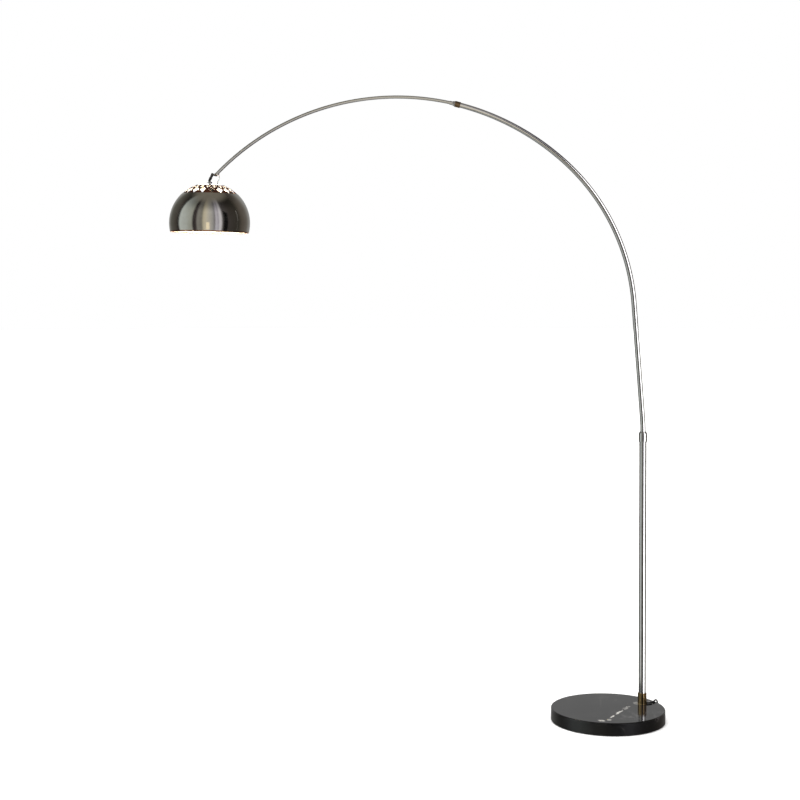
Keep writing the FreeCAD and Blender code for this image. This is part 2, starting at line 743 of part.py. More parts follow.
def build_reach():
    """Thin bent tube that slides in the lower arm, its slider bush, end ring and knuckle."""
    inner_end = HEADING_RING - size("reach_insert_angle")
    pipe = arc_tube("reach_pipe", "reach_diameter / 2", "reach_diameter / 2 - reach_wall", inner_end,
                    "upper_reach_angle + reach_insert_angle")
    exit_point = along_reach(HEADING_TIP, -size("lead_exit_back"))
    below = outward(HEADING_TIP).multiply(-1)
    hole_place = facing(exit_point.Base, below)
    lead_hole = rod("reach_lead_hole", "lead_diameter / 2 + 0.5", "reach_diameter", hole_place)
    keep("reach_tube", cut("reach_tube", pipe, lead_hole))
    keep("slider_bush", arc_tube("slider_bush", "arm_diameter / 2 - arm_wall - running_clearance",
                                 "reach_diameter / 2", inner_end, "slider_length" + LENGTH_TO_DEGREES))
    keep("tip_ring", arc_tube("tip_ring", "tip_ring_diameter / 2", "reach_diameter / 2",
                              HEADING_TIP - reach_degrees(size("tip_ring_length")),
                              "tip_ring_length" + LENGTH_TO_DEGREES))
    bush_place = facing(exit_point.Base.add(below.multiply(size("reach_diameter") / 2 - 1)), below)
    keep("lead_bush", tube("lead_bush", "lead_diameter / 2 + 0.5", "lead_diameter / 2 + 0.05",
                           "reach_wall + 0.9", bush_place))

    spigot = rod("knuckle_spigot", "reach_diameter / 2 - reach_wall - 0.15", "knuckle_spigot + knuckle_face",
                 facing(TIP.sub(heading_vector(HEADING_TIP).multiply(size("knuckle_spigot"))), TIP_OUT))
    start = TIP.add(heading_vector(HEADING_TIP).multiply(1.5))
    span = PIVOT.sub(start)
    plate = block("knuckle_plate", "knuckle_width", "knuckle_thickness", "%.4f" % span.Length)
    turn = Rotation(Vector(0, 1, 0), math.degrees(math.atan2(span.x, span.z)))
    plate.Placement = Placement(start, turn).multiply(
        at(-size("knuckle_width") / 2, -size("knuckle_thickness") / 2, 0))
    eye = rod("knuckle_eye", "knuckle_width / 2 + 1", "knuckle_thickness",
              Placement(PIVOT, TO_FRONT).multiply(at(z=-size("knuckle_thickness") / 2)))
    bore = rod("knuckle_bore", "pin_diameter / 2 + running_clearance", "knuckle_thickness + 4",
               Placement(PIVOT, TO_FRONT).multiply(at(z=-size("knuckle_thickness") / 2 - 2)))
    keep("tip_knuckle", cut("tip_knuckle", fuse("tip_knuckle", spigot, plate, eye), bore))


# ------------------------------------------------------------------------------------ shade group
def build_link():
    """Tapered link between the arm's knuckle and the shade's hub, with its pivot screw and nut."""
    to_shade = SHADE_FRAME.inverse()
    top = to_shade.multVec(PIVOT)
    foot = Vector(-size("link_foot_offset"), 0, size("cap_top") + 2.0)
    span = foot.sub(top)
    frame = SHADE_FRAME.multiply(facing(top, span))
    length = "%.4f" % span.Length
    waist = "link_width / 2"
    spindle = turned("link_spindle", [
        ("0", "3"), ("fork_radius - 0.2", "3"), ("fork_radius - 0.2", "7.6"), (waist + " - 1.6", "8.6"),
        (waist + " - 0.2", "11"), (waist, "12.4"), (waist + " - 0.7", "13"), (waist, "13.6"),
        (waist + " - 0.1", "15"), (waist + " - 0.8", "15.6"), (waist + " - 0.2", "16.2"),
        (waist + " - 0.5", "18"), (waist + " - 1.2", "18.6"), (waist + " - 0.6", "19.2"),
        (waist + " - 1.3", "22"), (waist + " - 2.1", "25"), (waist + " - 2.2", length), ("0", length),
    ], frame)
    pivot_axis = Placement(PIVOT, TO_FRONT)
    half = size("fork_width") / 2
    cheeks = rod("link_cheeks", "fork_radius", "fork_width", pivot_axis.multiply(at(z=-half)))
    slot_width = size("knuckle_thickness") + 2 * size("body_gap")
    slot = rod("link_slot", "fork_radius + 2.2", "knuckle_thickness + body_gap * 2",
               pivot_axis.multiply(at(z=-slot_width / 2)))
    pin_hole = rod("link_pin_hole", "pin_diameter / 2", "fork_width + 4",
                   pivot_axis.multiply(at(z=-half - 2)))
    keep("swivel_link", cut("swivel_link", fuse("swivel_link", spindle, cheeks), slot, pin_hole))

    shank = rod("pivot_shank", "pin_diameter / 2", "fork_width + 3", pivot_axis.multiply(at(z=-half - 3)))
    head = rod("pivot_head", "pin_diameter", "2", pivot_axis.multiply(at(z=half)))
    keep("pivot_screw", fuse("pivot_screw", shank, head))
    nut = doc.addObject("Part::Prism", "pivot_nut_hexagon")
    nut.Polygon = 6
    bind(nut, Circumradius=sheeted("pin_diameter * 1.05"), Height="2.4")
    nut.Placement = pivot_axis.multiply(at(z=-half - 2.4))
    nut_bore = rod("pivot_nut_bore", "pin_diameter / 2", "4", pivot_axis.multiply(at(z=-half - 3.4)))
    keep("pivot_nut", cut("pivot_nut", nut, nut_bore))

    hub = turned("hub", [
        ("0", "0"), ("hub_diameter / 2", "0"), ("hub_diameter / 2", "2.2"), ("hub_diameter / 2 - 1.2", "4.6"),
        ("hub_diameter / 2 - 4.2", "hub_height"), ("0", "hub_height"),
    ], in_shade(z=size("cap_top") - 0.5))
    socket = rod("hub_socket", waist + " - 2.2", "20", frame.multiply(at(z=span.Length - 19.5)))
    socket_2 = turned("hub_relief", [
        ("0", "10"), (waist + " - 0.4", "10"), (waist + " - 1.2", "22"), (waist + " - 2", "25"),
        (waist + " - 2.15", "26"), ("0", "26"),
    ], frame)
    bore = rod("hub_bore", "nipple_diameter / 2 - 1.2", "hub_height + 4", in_shade(z=size("cap_top") - 2))
    seat = ball("hub_seat", "cap_curve", in_shade(z=size("cap_top") - size("cap_curve")))
    keep("shade_hub", cut("shade_hub", hub, socket, socket_2, bore, seat))


def opening_pattern(body, tag, turn_share):
    """Row of diamond openings cut through the crown, turned by a share of their spacing."""
    height_alias = tag + "_height"
    width_alias = tag + "_width"
    polar = size(tag + "_polar")
    normal = Rotation(Vector(0, 0, 1), turn_share * 360.0 / size("opening_count"))
    tilt = normal.multiply(Rotation(Vector(0, 1, 0), polar))
    sketch = body.newObject("Sketcher::SketchObject", tag + "_outline")
    sketch.AttachmentSupport = [(origin_feature(body, "XY_Plane"), "")]
    sketch.MapMode = "FlatFace"
    reach = size("shade_radius") + 5
    sketch.AttachmentOffset = Placement(tilt.multVec(Vector(0, 0, reach)), tilt)
    half_height = size(height_alias) / 2
    half_width = size(width_alias) / 2
    corners = [Vector(half_height, 0, 0), Vector(0, half_width, 0), Vector(-half_height, 0, 0),
               Vector(0, -half_width, 0)]
    for index in range(4):
        side = Part.LineSegment(corners[index], corners[(index + 1) % 4])
        sketch.addGeometry(side, False)
    for index in range(4):
        sketch.addConstraint(Sketcher.Constraint("Coincident", index, 2, (index + 1) % 4, 1))
    for index in (0, 2):
        sketch.addConstraint(Sketcher.Constraint("PointOnObject", index, 1, -1))
        sketch.addConstraint(Sketcher.Constraint("PointOnObject", index + 1, 1, -2))
    for kind, first, second, half, alias in (
        ("DistanceX", -1, 0, half_height, height_alias), ("DistanceY", -1, 1, half_width, width_alias),
        ("DistanceX", 2, -1, half_height, height_alias), ("DistanceY", 3, -1, half_width, width_alias),
    ):
        number = sketch.addConstraint(Sketcher.Constraint(kind, first, 1, second, 1, half))
        sketch.setExpression("Constraints[%d]" % number, sheeted(alias + " / 2"))
    doc.recompute()
    pocket = body.newObject("PartDesign::Pocket", tag + "_pocket")
    pocket.Profile = sketch
    pocket.Length = 20.0
    doc.recompute()
    row = body.newObject("PartDesign::PolarPattern", tag + "_row")
    row.Originals = [pocket]
    row.Axis = (origin_feature(body, "Z_Axis"), [""])
    row.Angle = 360.0
    row.setExpression("Occurrences", sheeted("opening_count"))
    body.Tip = row
    doc.recompute()
    return row


def build_crown():
    """Pierced crown: a spherical band under the dome's upper edge, with two rows of diamonds."""
    outer = size("shade_radius") - size("shade_wall")
    low = size("shade_crown_edge") - size("crown_tuck")
    high = math.sqrt(outer ** 2 - size("crown_top_radius") ** 2)
    body = doc.addObject("PartDesign::Body", "crown_body")
    sketch = body.newObject("Sketcher::SketchObject", "crown_profile")
    sketch.AttachmentSupport = [(origin_feature(body, "XZ_Plane"), "")]
    sketch.MapMode = "FlatFace"
    inner = outer - size("shade_wall")
    outer_low, outer_high = math.asin(low / outer), math.asin(high / outer)
    inner_low, inner_high = math.asin(low / inner), math.asin((high - size("shade_wall")) / inner)
    for radius, start, end in ((outer, outer_low, outer_high), (inner, inner_low, inner_high)):
        circle = Part.Circle(Vector(0, 0, 0), Vector(0, 0, 1), radius)
        sketch.addGeometry(Part.ArcOfCircle(circle, start, end), False)

    def on(radius, angle):
        return Vector(radius * math.cos(angle), radius * math.sin(angle), 0)

    sketch.addGeometry(Part.LineSegment(on(inner, inner_low), on(outer, outer_low)), False)
    sketch.addGeometry(Part.LineSegment(on(outer, outer_high), on(inner, inner_high)), False)
    for joint in ((2, 1, 1, 1), (2, 2, 0, 1), (3, 1, 0, 2), (3, 2, 1, 2)):
        sketch.addConstraint(Sketcher.Constraint("Coincident", *joint))
    for index, expression in ((0, "shade_radius - shade_wall"), (1, "shade_radius - shade_wall * 2")):
        sketch.addConstraint(Sketcher.Constraint("Coincident", index, 3, -1, 1))
        number = sketch.addConstraint(Sketcher.Constraint("Radius", index, worth(expression)))
        sketch.setExpression("Constraints[%d]" % number, sheeted(expression))
    sketch.addConstraint(Sketcher.Constraint("Horizontal", 2))
    number = sketch.addConstraint(Sketcher.Constraint("DistanceY", -1, 1, 2, 1, low))
    sketch.setExpression("Constraints[%d]" % number, sheeted("shade_crown_edge - crown_tuck"))
    for geometry, end, height in ((0, 2, high), (1, 2, high - size("shade_wall"))):
        sketch.addConstraint(Sketcher.Constraint("DistanceY", -1, 1, geometry, end, height))
    doc.recompute()
    turn = body.newObject("PartDesign::Revolution", "crown_turn")
    turn.Profile = sketch
    turn.ReferenceAxis = (sketch, ["V_Axis"])
    turn.Angle = 360.0
    doc.recompute()
    solid_volume = body.Shape.Volume
    opening_pattern(body, "large_opening", 0.0)
    large_volume = body.Shape.Volume
    opening_pattern(body, "small_opening", 0.5)
    print("crown volume %.0f, after the large openings %.0f, after the small ones %.0f" % (
        solid_volume, large_volume, body.Shape.Volume))
    if not solid_volume > large_volume > body.Shape.Volume:
        raise RuntimeError("the crown's openings cut nothing")
    keep("pierced_crown", body, SHADE_FRAME)


def build_shade():
    """Dome, rim bead, crown and cap."""
    shell = turned_dome()
    keep("dome_shell", shell, SHADE_FRAME)
    bead = doc.addObject("Part::Torus", "rim_bead_ring")
    bind(bead, Radius1=sheeted("sqrt( shade_radius ^ 2 - shade_rim_depth ^ 2 ) + shade_wall / 2"),
         Radius2=sheeted("rim_bead_diameter / 2"))
    bead_z = size("rim_bead_diameter") / 2 - size("shade_rim_depth") - size("rim_bead_wrap")
    bead.Placement = in_shade(z=bead_z)
    dome = ball("rim_bead_groove", "shade_radius", SHADE_FRAME)
    hollow = ball("rim_bead_hollow", "shade_radius - shade_wall", SHADE_FRAME)
    wall = cut("rim_bead_wall", dome, hollow)
    slab = rod("rim_bead_slab", "shade_radius * 2", "rim_bead_diameter + 2",
               in_shade(z=-size("shade_rim_depth")))
    keep("rim_bead", cut("rim_bead", bead, common("rim_bead_seat", wall, slab)))
    build_crown()

    curve_low = size("cap_top") - size("cap_curve")
    cap = common("cap_dome", ball("cap_ball", "cap_curve", in_shade(z=curve_low)),
                 rod("cap_column", "cap_radius", "30", in_shade(z=size("cap_top") - 20)))
    under = ball("cap_under", "cap_curve - cap_wall", in_shade(z=curve_low))
    nipple_hole = rod("cap_hole", "nipple_diameter / 2 + screw_clearance", "30",
                      in_shade(z=size("cap_top") - 20))
    lead_hole = rod("cap_lead_hole", "lead_diameter / 2 + 0.6", "30",
                    in_shade(x=size("lead_entry_offset"), z=size("cap_top") - 20))
    keep("crown_cap", cut("crown_cap", cap, under, nipple_hole, lead_hole))
    lead_bush_z = size("cap_top") - 3.2
    keep("cap_lead_bush", tube("cap_lead_bush", "lead_diameter / 2 + 0.6", "lead_diameter / 2 + 0.05", "3.4",
                               in_shade(x=size("lead_entry_offset"), z=lead_bush_z)))


def turned_dome():
    """Spherical dome wall between the rim and the crown's edge."""
    slab = rod("dome_slab", "shade_radius * 2", "shade_rim_depth + shade_crown_edge",
               at(z=-size("shade_rim_depth")))
    zone = common("dome_zone", ball("dome_outside", "shade_radius"), slab)
    return cut("dome", zone, ball("dome_inside", "shade_radius - shade_wall"))


def build_lamp():
    """Nipple, lampholder and bulb that hang from the cap."""
    top = size("cap_top")
    holder_top = size("holder_top")
    keep("hollow_nipple", tube("hollow_nipple", "nipple_diameter / 2", "nipple_bore / 2",
                               "cap_top - holder_top + 5.5", in_shade(z=holder_top - 6)))
    hexagon = doc.addObject("Part::Prism", "nipple_nut_hexagon")
    hexagon.Polygon = 6
    bind(hexagon, Circumradius="8.1", Height="3.5")
    nut_z = top - size("cap_wall") - 4.2
    hexagon.Placement = in_shade(z=nut_z)
    bore = rod("nipple_nut_bore", "nipple_diameter / 2 + screw_clearance", "8",
               in_shade(z=nut_z - 2))
    keep("nipple_nut", cut("nipple_nut", hexagon, bore))

    outer = "holder_diameter / 2"
    keep("lampholder_cap", turned("lampholder_cap", [
        ("nipple_diameter / 2 + screw_clearance", "holder_top"), ("holder_diameter / 4", "holder_top"),
        (outer + " - 3", "holder_top - 4"), (outer, "holder_shell_top + 3"), (outer, "holder_shell_top"),
        (outer + " - holder_wall", "holder_shell_top"), (outer + " - holder_wall", "holder_shell_top + 3"),
        (outer + " - 5", "holder_top - 6"), ("nipple_diameter / 2 + screw_clearance", "holder_top - 6"),
    ], SHADE_FRAME))
    keep("lampholder_shell", turned("lampholder_shell", [
        (outer + " - holder_wall", "holder_shell_top"), (outer + " - 0.6", "holder_shell_top"),
        (outer + " - 0.6", "holder_mouth"), (outer + " - holder_wall - 0.6", "holder_mouth"),
        (outer + " - holder_wall - 0.6", "holder_shell_top - 1"),
        (outer + " - holder_wall", "holder_shell_top - 1"),
    ], SHADE_FRAME))
    ring_bottom = size("holder_mouth") + 4
    keep("lampholder_ring", tube("lampholder_ring", "holder_ring_diameter / 2", outer + " - 0.6",
                                 "holder_ring_height", in_shade(z=ring_bottom)))
    core = rod("contact_disc", outer + " - holder_wall - 0.6", "4", in_shade(z=size("holder_shell_top") - 6))
    tongue_bottom = size("holder_mouth") + size("bulb_cap_length") + 2.1
    tongue = rod("contact_tongue", "3", "holder_shell_top - holder_mouth - bulb_cap_length - 8.1",
                 in_shade(z=tongue_bottom))
    keep("lampholder_contact", fuse("lampholder_contact", core, tongue))
    screw_outer = "bulb_cap_diameter / 2 + 1.2"
    keep("lampholder_screw", tube("lampholder_screw", screw_outer, "bulb_cap_diameter / 2 + seat_clearance",
                                  "holder_shell_top - holder_mouth - 8", in_shade(z=size("holder_mouth") + 2)))

    cap_bottom = "holder_mouth + 2"
    cap_radius = "bulb_cap_diameter / 2"
    keep("bulb_cap", turned("bulb_cap", [
        ("0", cap_bottom + " + 1"), (cap_radius, cap_bottom + " + 1"),
        (cap_radius, cap_bottom + " + bulb_cap_length - 5"),
        (cap_radius + " - 4", cap_bottom + " + bulb_cap_length"),
        ("0", cap_bottom + " + bulb_cap_length"),
    ], SHADE_FRAME))
    build_bulb()


def build_bulb():
    """Glass of the bulb: a hollow ball that runs into an open neck."""
    radius = size("bulb_diameter") / 2
    wall = size("bulb_wall")
    centre_z = radius + size("bulb_bottom_inset") - size("shade_rim_depth")
    neck_z = centre_z + radius * math.sin(math.radians(NECK_DEGREES))
    neck_length = size("holder_mouth") + BULB_CAP_LIFT - neck_z

    def outline(name, thinner, extra_length):
        inset = " - bulb_wall" if thinner else ""
        cone = doc.addObject("Part::Cone", name + "_neck")
        bind(cone, Radius1=sheeted("bulb_diameter / 2 * cos( %g )%s" % (NECK_DEGREES, inset)),
             Radius2=sheeted("bulb_cap_diameter / 2 - 0.6" + inset))
        cone.Height = neck_length + extra_length
        cone.Placement = in_shade(z=neck_z)
        return fuse(name, ball(name + "_ball", "bulb_diameter / 2" + inset, in_shade(z=centre_z)), cone)

    keep("bulb_glass", cut("bulb_glass", outline("bulb_outside", False, 0.0),
                           outline("bulb_inside", True, wall)))


# ------------------------------------------------------------------------------------- wiring group
def build_inner_wiring():
    """Flex inside the post and the two arm tubes, a length for each."""
    side = size("stud_diameter") / 2 + 0.3 + CORD_RADIUS
    cord_z = MARBLE_TOP + size("cord_exit_height")
    post_end = size("arm_bend_start") - size("arm_socket_depth") - 6
    flexible("post_flex", [
        (POST_X + side, POST_Y, cord_z + 1.0), (POST_X + side, POST_Y, 90.0), (POST_X + 1.0, POST_Y, 190.0),
        (POST_X, POST_Y, 290.0), (POST_X - 0.6, POST_Y, 500.0), (POST_X, POST_Y, post_end),
    ], "cord_diameter")
    entry = rod("entry_flex", "cord_diameter / 2", "foot_collar_diameter / 2 - 6.8",
                at(POST_X + 6.8, POST_Y, cord_z, TO_RIGHT))
    keep("entry_flex", entry)
    # The arm's flex stops short of the reach arc, so that the reach's flex can slide in to it.
    setback = size("flex_setback_angle")
    bent_arm("arm_flex", ["cord_diameter / 2"], HEADING_2 + setback)
    keep("reach_flex", arc_rod("reach_flex", "cord_diameter / 2",
                               HEADING_RING - size("reach_insert_angle") + setback,
                               "upper_reach_angle + reach_insert_angle - flex_setback_angle - 2"))


def build_cord():
    """Mains cord behind the base: runs, coil, tie, foot switch and plug."""
    flexible("mains_cord", CORD_TO_SWITCH, "cord_diameter")
    flexible("mains_cord_middle", CORD_TO_COIL, "cord_diameter")
    flexible("mains_cord_tail", CORD_TO_PLUG, "cord_diameter")
    centre_x = size("coil_centre_x")
    centre_y = size("coil_centre_y")
    half = "coil_width_turns * cord_diameter / 2"
    lift = size("tie_thickness")
    keep("mains_cord_coil", tube("mains_cord_coil", "coil_turn_radius + " + half,
                                 "coil_turn_radius - " + half, "coil_layers * cord_diameter",
                                 at(centre_x, centre_y, lift)))
    outer = block("tie_outer", "coil_width_turns * cord_diameter + tie_thickness * 2", "tie_width",
                  "coil_layers * cord_diameter + tie_thickness * 2")
    inner = block("tie_inner", "coil_width_turns * cord_diameter + 0.1", "tie_width + 2",
                  "coil_layers * cord_diameter + 0.1")
    width = size("coil_width_turns") * size("cord_diameter")
    inner.Placement = at(lift - 0.05, -1, lift - 0.05)
    tie = cut("coil_tie", outer, inner)
    keep("coil_tie", tie, at(centre_x - size("coil_turn_radius") - width / 2 - lift,
                             centre_y - size("tie_width") / 2, 0))
    build_switch()
    build_plug()


def switch_frame():
    """Placement of the foot switch: local X along the cord, local Z up, origin on the floor."""
    bearing = math.radians(size("switch_bearing"))
    distance = size("switch_distance")
    return at(distance * math.cos(bearing), distance * math.sin(bearing), 0,
              Rotation(Vector(0, 0, 1), size("switch_bearing") + 90))


def stadium(name, length, width, height, placement):
    """Block with half-round ends, along its local X and centred on it."""
    half = worth(length) / 2 - worth(width) / 2
    middle = block(name + "_middle", length + " - " + width, width, height,
                   placement.multiply(at(-half, -worth(width) / 2, 0)))
    ends = [rod(name + "_end%d" % number, width + " / 2", height, placement.multiply(at(shift, 0, 0)))
            for number, shift in enumerate((-half, half))]
    return fuse(name, middle, *ends)


def build_switch():
    """Foot switch on the cord: base, cover, button and rocker contact."""
    frame = switch_frame()
    keep("switch_base", stadium("switch_base", "switch_length", "switch_width", "switch_base_height", frame))
    lifted = frame.multiply(at(z=size("switch_base_height")))
    outside = stadium("cover_outside", "switch_length", "switch_width",
                      "( switch_height - switch_base_height )", lifted)
    inside = stadium("cover_inside", "( switch_length - switch_wall * 2 )",
                     "( switch_width - switch_wall * 2 )",
                     "( switch_height - switch_base_height - switch_wall )", lifted)
    opening = rod("cover_opening", "button_diameter / 2 + body_gap", "switch_wall + 4",
                  frame.multiply(at(z=size("switch_height") - size("switch_wall") - 2)))
    bore = rod("cover_cord_bore", "cord_diameter / 2 + 0.05", "switch_length + 10",
               frame.multiply(at(-size("switch_length") / 2 - 5, 0, size("switch_cord_height"),
                                 TO_RIGHT)))
    keep("switch_cover", cut("switch_cover", outside, inside, opening, bore))
    skirt = rod("button_skirt", "button_diameter / 2 + 2", "1.6",
                frame.multiply(at(z=size("switch_height") - size("switch_wall") - 1.6 - size("body_gap"))))
    crown = rod("button_crown", "button_diameter / 2", "button_proud + switch_wall + body_gap + 0.6",
                frame.multiply(at(z=size("switch_height") - size("switch_wall") - size("body_gap") - 0.6)))
    keep("switch_button", fuse("switch_button", skirt, crown))
    keep("switch_contact_block", block("switch_contact_block", "16", "12", "3.4",
                                       frame.multiply(at(-8, -6, size("switch_base_height")))))


def build_plug():
    """Flat two-pin plug lying where the cord's tail ends."""
    end = Vector(*CORD_TO_PLUG[-1])
    before = Vector(*CORD_TO_PLUG[-2])
    bearing = math.degrees(math.atan2(end.y - before.y, end.x - before.x))
    frame = at(end.x, end.y, 0, Rotation(Vector(0, 0, 1), bearing))
    half_width = size("plug_width") / 2
    height = size("plug_height_size")
    body = block("plug_block", "plug_length", "plug_width", "plug_height_size",
                 frame.multiply(at(4, -half_width, 0)))
    neck = rod("plug_neck", "cord_diameter / 2 + 2", "8",
               frame.multiply(at(-3, 0, height / 2, TO_RIGHT)))
    keep("mains_plug", fuse("mains_plug", body, neck))
    pins = []
    for number, side in enumerate((-0.5, 0.5)):
        pins.append(rod("plug_pin%d" % number, "plug_pin_diameter / 2", "plug_pin_length", frame.multiply(
            at(4 + size("plug_length"), side * size("plug_pin_spacing"), height / 2, TO_RIGHT))))
    keep("plug_pins", fuse("plug_pins", *pins))


def build_shade_lead():
    """Short lead that hangs from the arm's tip into the shade's cap."""
    route = [(PIVOT.x + dx, PIVOT.y, PIVOT.z + dz) for dx, dz in LEAD_OFFSETS]
    flexible("shade_lead", route, "lead_diameter")


def write_parts():
    """Check every object and write each sub-part to its own file."""
    doc.recompute()
    for thing in doc.Objects:
        if "Invalid" in thing.State or "Error" in thing.State:
            raise RuntimeError("%s (%s) failed: %s" % (thing.Name, thing.Label, thing.State))
    os.makedirs("parts", exist_ok=True)
    for piece in SUB_PARTS:
        shape = piece.Shape
        if shape.isNull() or not shape.isValid() or not shape.Solids:
            raise RuntimeError("%s has no valid solid" % piece.Label)
        box = shape.BoundBox
        print("%-22s solids %d volume %.1f  x %.1f %.1f  y %.1f %.1f  z %.1f %.1f" % (
            piece.Label, len(shape.Solids), shape.Volume,
            box.XMin, box.XMax, box.YMin, box.YMax, box.ZMin, box.ZMax))
        shape.exportStep("parts/%s.step" % piece.Label)


build_base()
build_foot()
build_post()
build_lower_arm()
build_reach()
build_link()
build_shade()
build_lamp()
build_inner_wiring()
build_shade_lead()
build_cord()
write_parts()
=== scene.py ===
"""Arc floor lamp: finishes, flexible leads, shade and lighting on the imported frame."""

import json
import logging
import math
from dataclasses import dataclass, field
from enum import Enum
from typing import Iterable, Sequence, Union

import bmesh
import bpy
from mathutils import Matrix, Vector

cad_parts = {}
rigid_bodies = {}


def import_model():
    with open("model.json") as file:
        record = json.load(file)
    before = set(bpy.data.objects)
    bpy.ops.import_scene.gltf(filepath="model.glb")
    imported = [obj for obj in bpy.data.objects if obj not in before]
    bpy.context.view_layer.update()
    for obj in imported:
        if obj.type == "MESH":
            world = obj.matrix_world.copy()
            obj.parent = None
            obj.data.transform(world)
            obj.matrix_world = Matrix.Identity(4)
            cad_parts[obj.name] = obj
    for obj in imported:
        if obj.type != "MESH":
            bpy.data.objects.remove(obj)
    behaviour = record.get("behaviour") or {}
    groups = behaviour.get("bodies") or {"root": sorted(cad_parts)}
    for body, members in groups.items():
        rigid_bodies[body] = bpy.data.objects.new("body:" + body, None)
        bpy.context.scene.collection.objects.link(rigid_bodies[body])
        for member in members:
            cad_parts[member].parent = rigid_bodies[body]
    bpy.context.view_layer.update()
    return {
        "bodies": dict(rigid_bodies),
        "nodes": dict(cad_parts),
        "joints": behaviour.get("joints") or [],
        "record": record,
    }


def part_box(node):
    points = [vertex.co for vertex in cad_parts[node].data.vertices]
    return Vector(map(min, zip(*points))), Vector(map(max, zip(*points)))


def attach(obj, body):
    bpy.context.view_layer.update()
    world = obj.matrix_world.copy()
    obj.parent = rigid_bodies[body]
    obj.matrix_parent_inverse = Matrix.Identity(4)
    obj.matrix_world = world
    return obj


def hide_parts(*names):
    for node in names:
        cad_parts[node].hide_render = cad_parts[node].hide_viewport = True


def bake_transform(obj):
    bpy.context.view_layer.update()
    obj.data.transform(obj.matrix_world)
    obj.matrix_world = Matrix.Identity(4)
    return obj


Colour = tuple[float, float, float]
Point = tuple[float, float, float]
Operand = Union["Signal", float]

log = logging.getLogger("arc_floor_lamp")


# ---------------------------------------------------------------------------------- node graphs
class Signal:
    """A value that runs through a node graph, used in plain arithmetic."""

    def __init__(self, graph: "Graph", socket: bpy.types.NodeSocket) -> None:
        """Wrap an output socket of a graph."""
        self.graph = graph
        self.socket = socket

    def __add__(self, other: Operand) -> "Signal":
        """This value plus another."""
        return self.graph.math("ADD", self, other)

    def __radd__(self, other: Operand) -> "Signal":
        """Another value plus this one."""
        return self.graph.math("ADD", other, self)

    def __sub__(self, other: Operand) -> "Signal":
        """This value less another."""
        return self.graph.math("SUBTRACT", self, other)

    def __rsub__(self, other: Operand) -> "Signal":
        """Another value less this one."""
        return self.graph.math("SUBTRACT", other, self)

    def __mul__(self, other: Operand) -> "Signal":
        """This value times another."""
        return self.graph.math("MULTIPLY", self, other)

    def __rmul__(self, other: Operand) -> "Signal":
        """Another value times this one."""
        return self.graph.math("MULTIPLY", other, self)

    def __truediv__(self, other: Operand) -> "Signal":
        """This value over another."""
        return self.graph.math("DIVIDE", self, other)

    def __neg__(self) -> "Signal":
        """This value with its sign changed."""
        return self.graph.math("MULTIPLY", self, -1.0)

    def clamped(self) -> "Signal":
        """This value kept between 0 and 1."""
        return self.graph.math("MAXIMUM", self.graph.math("MINIMUM", self, 1.0), 0.0)


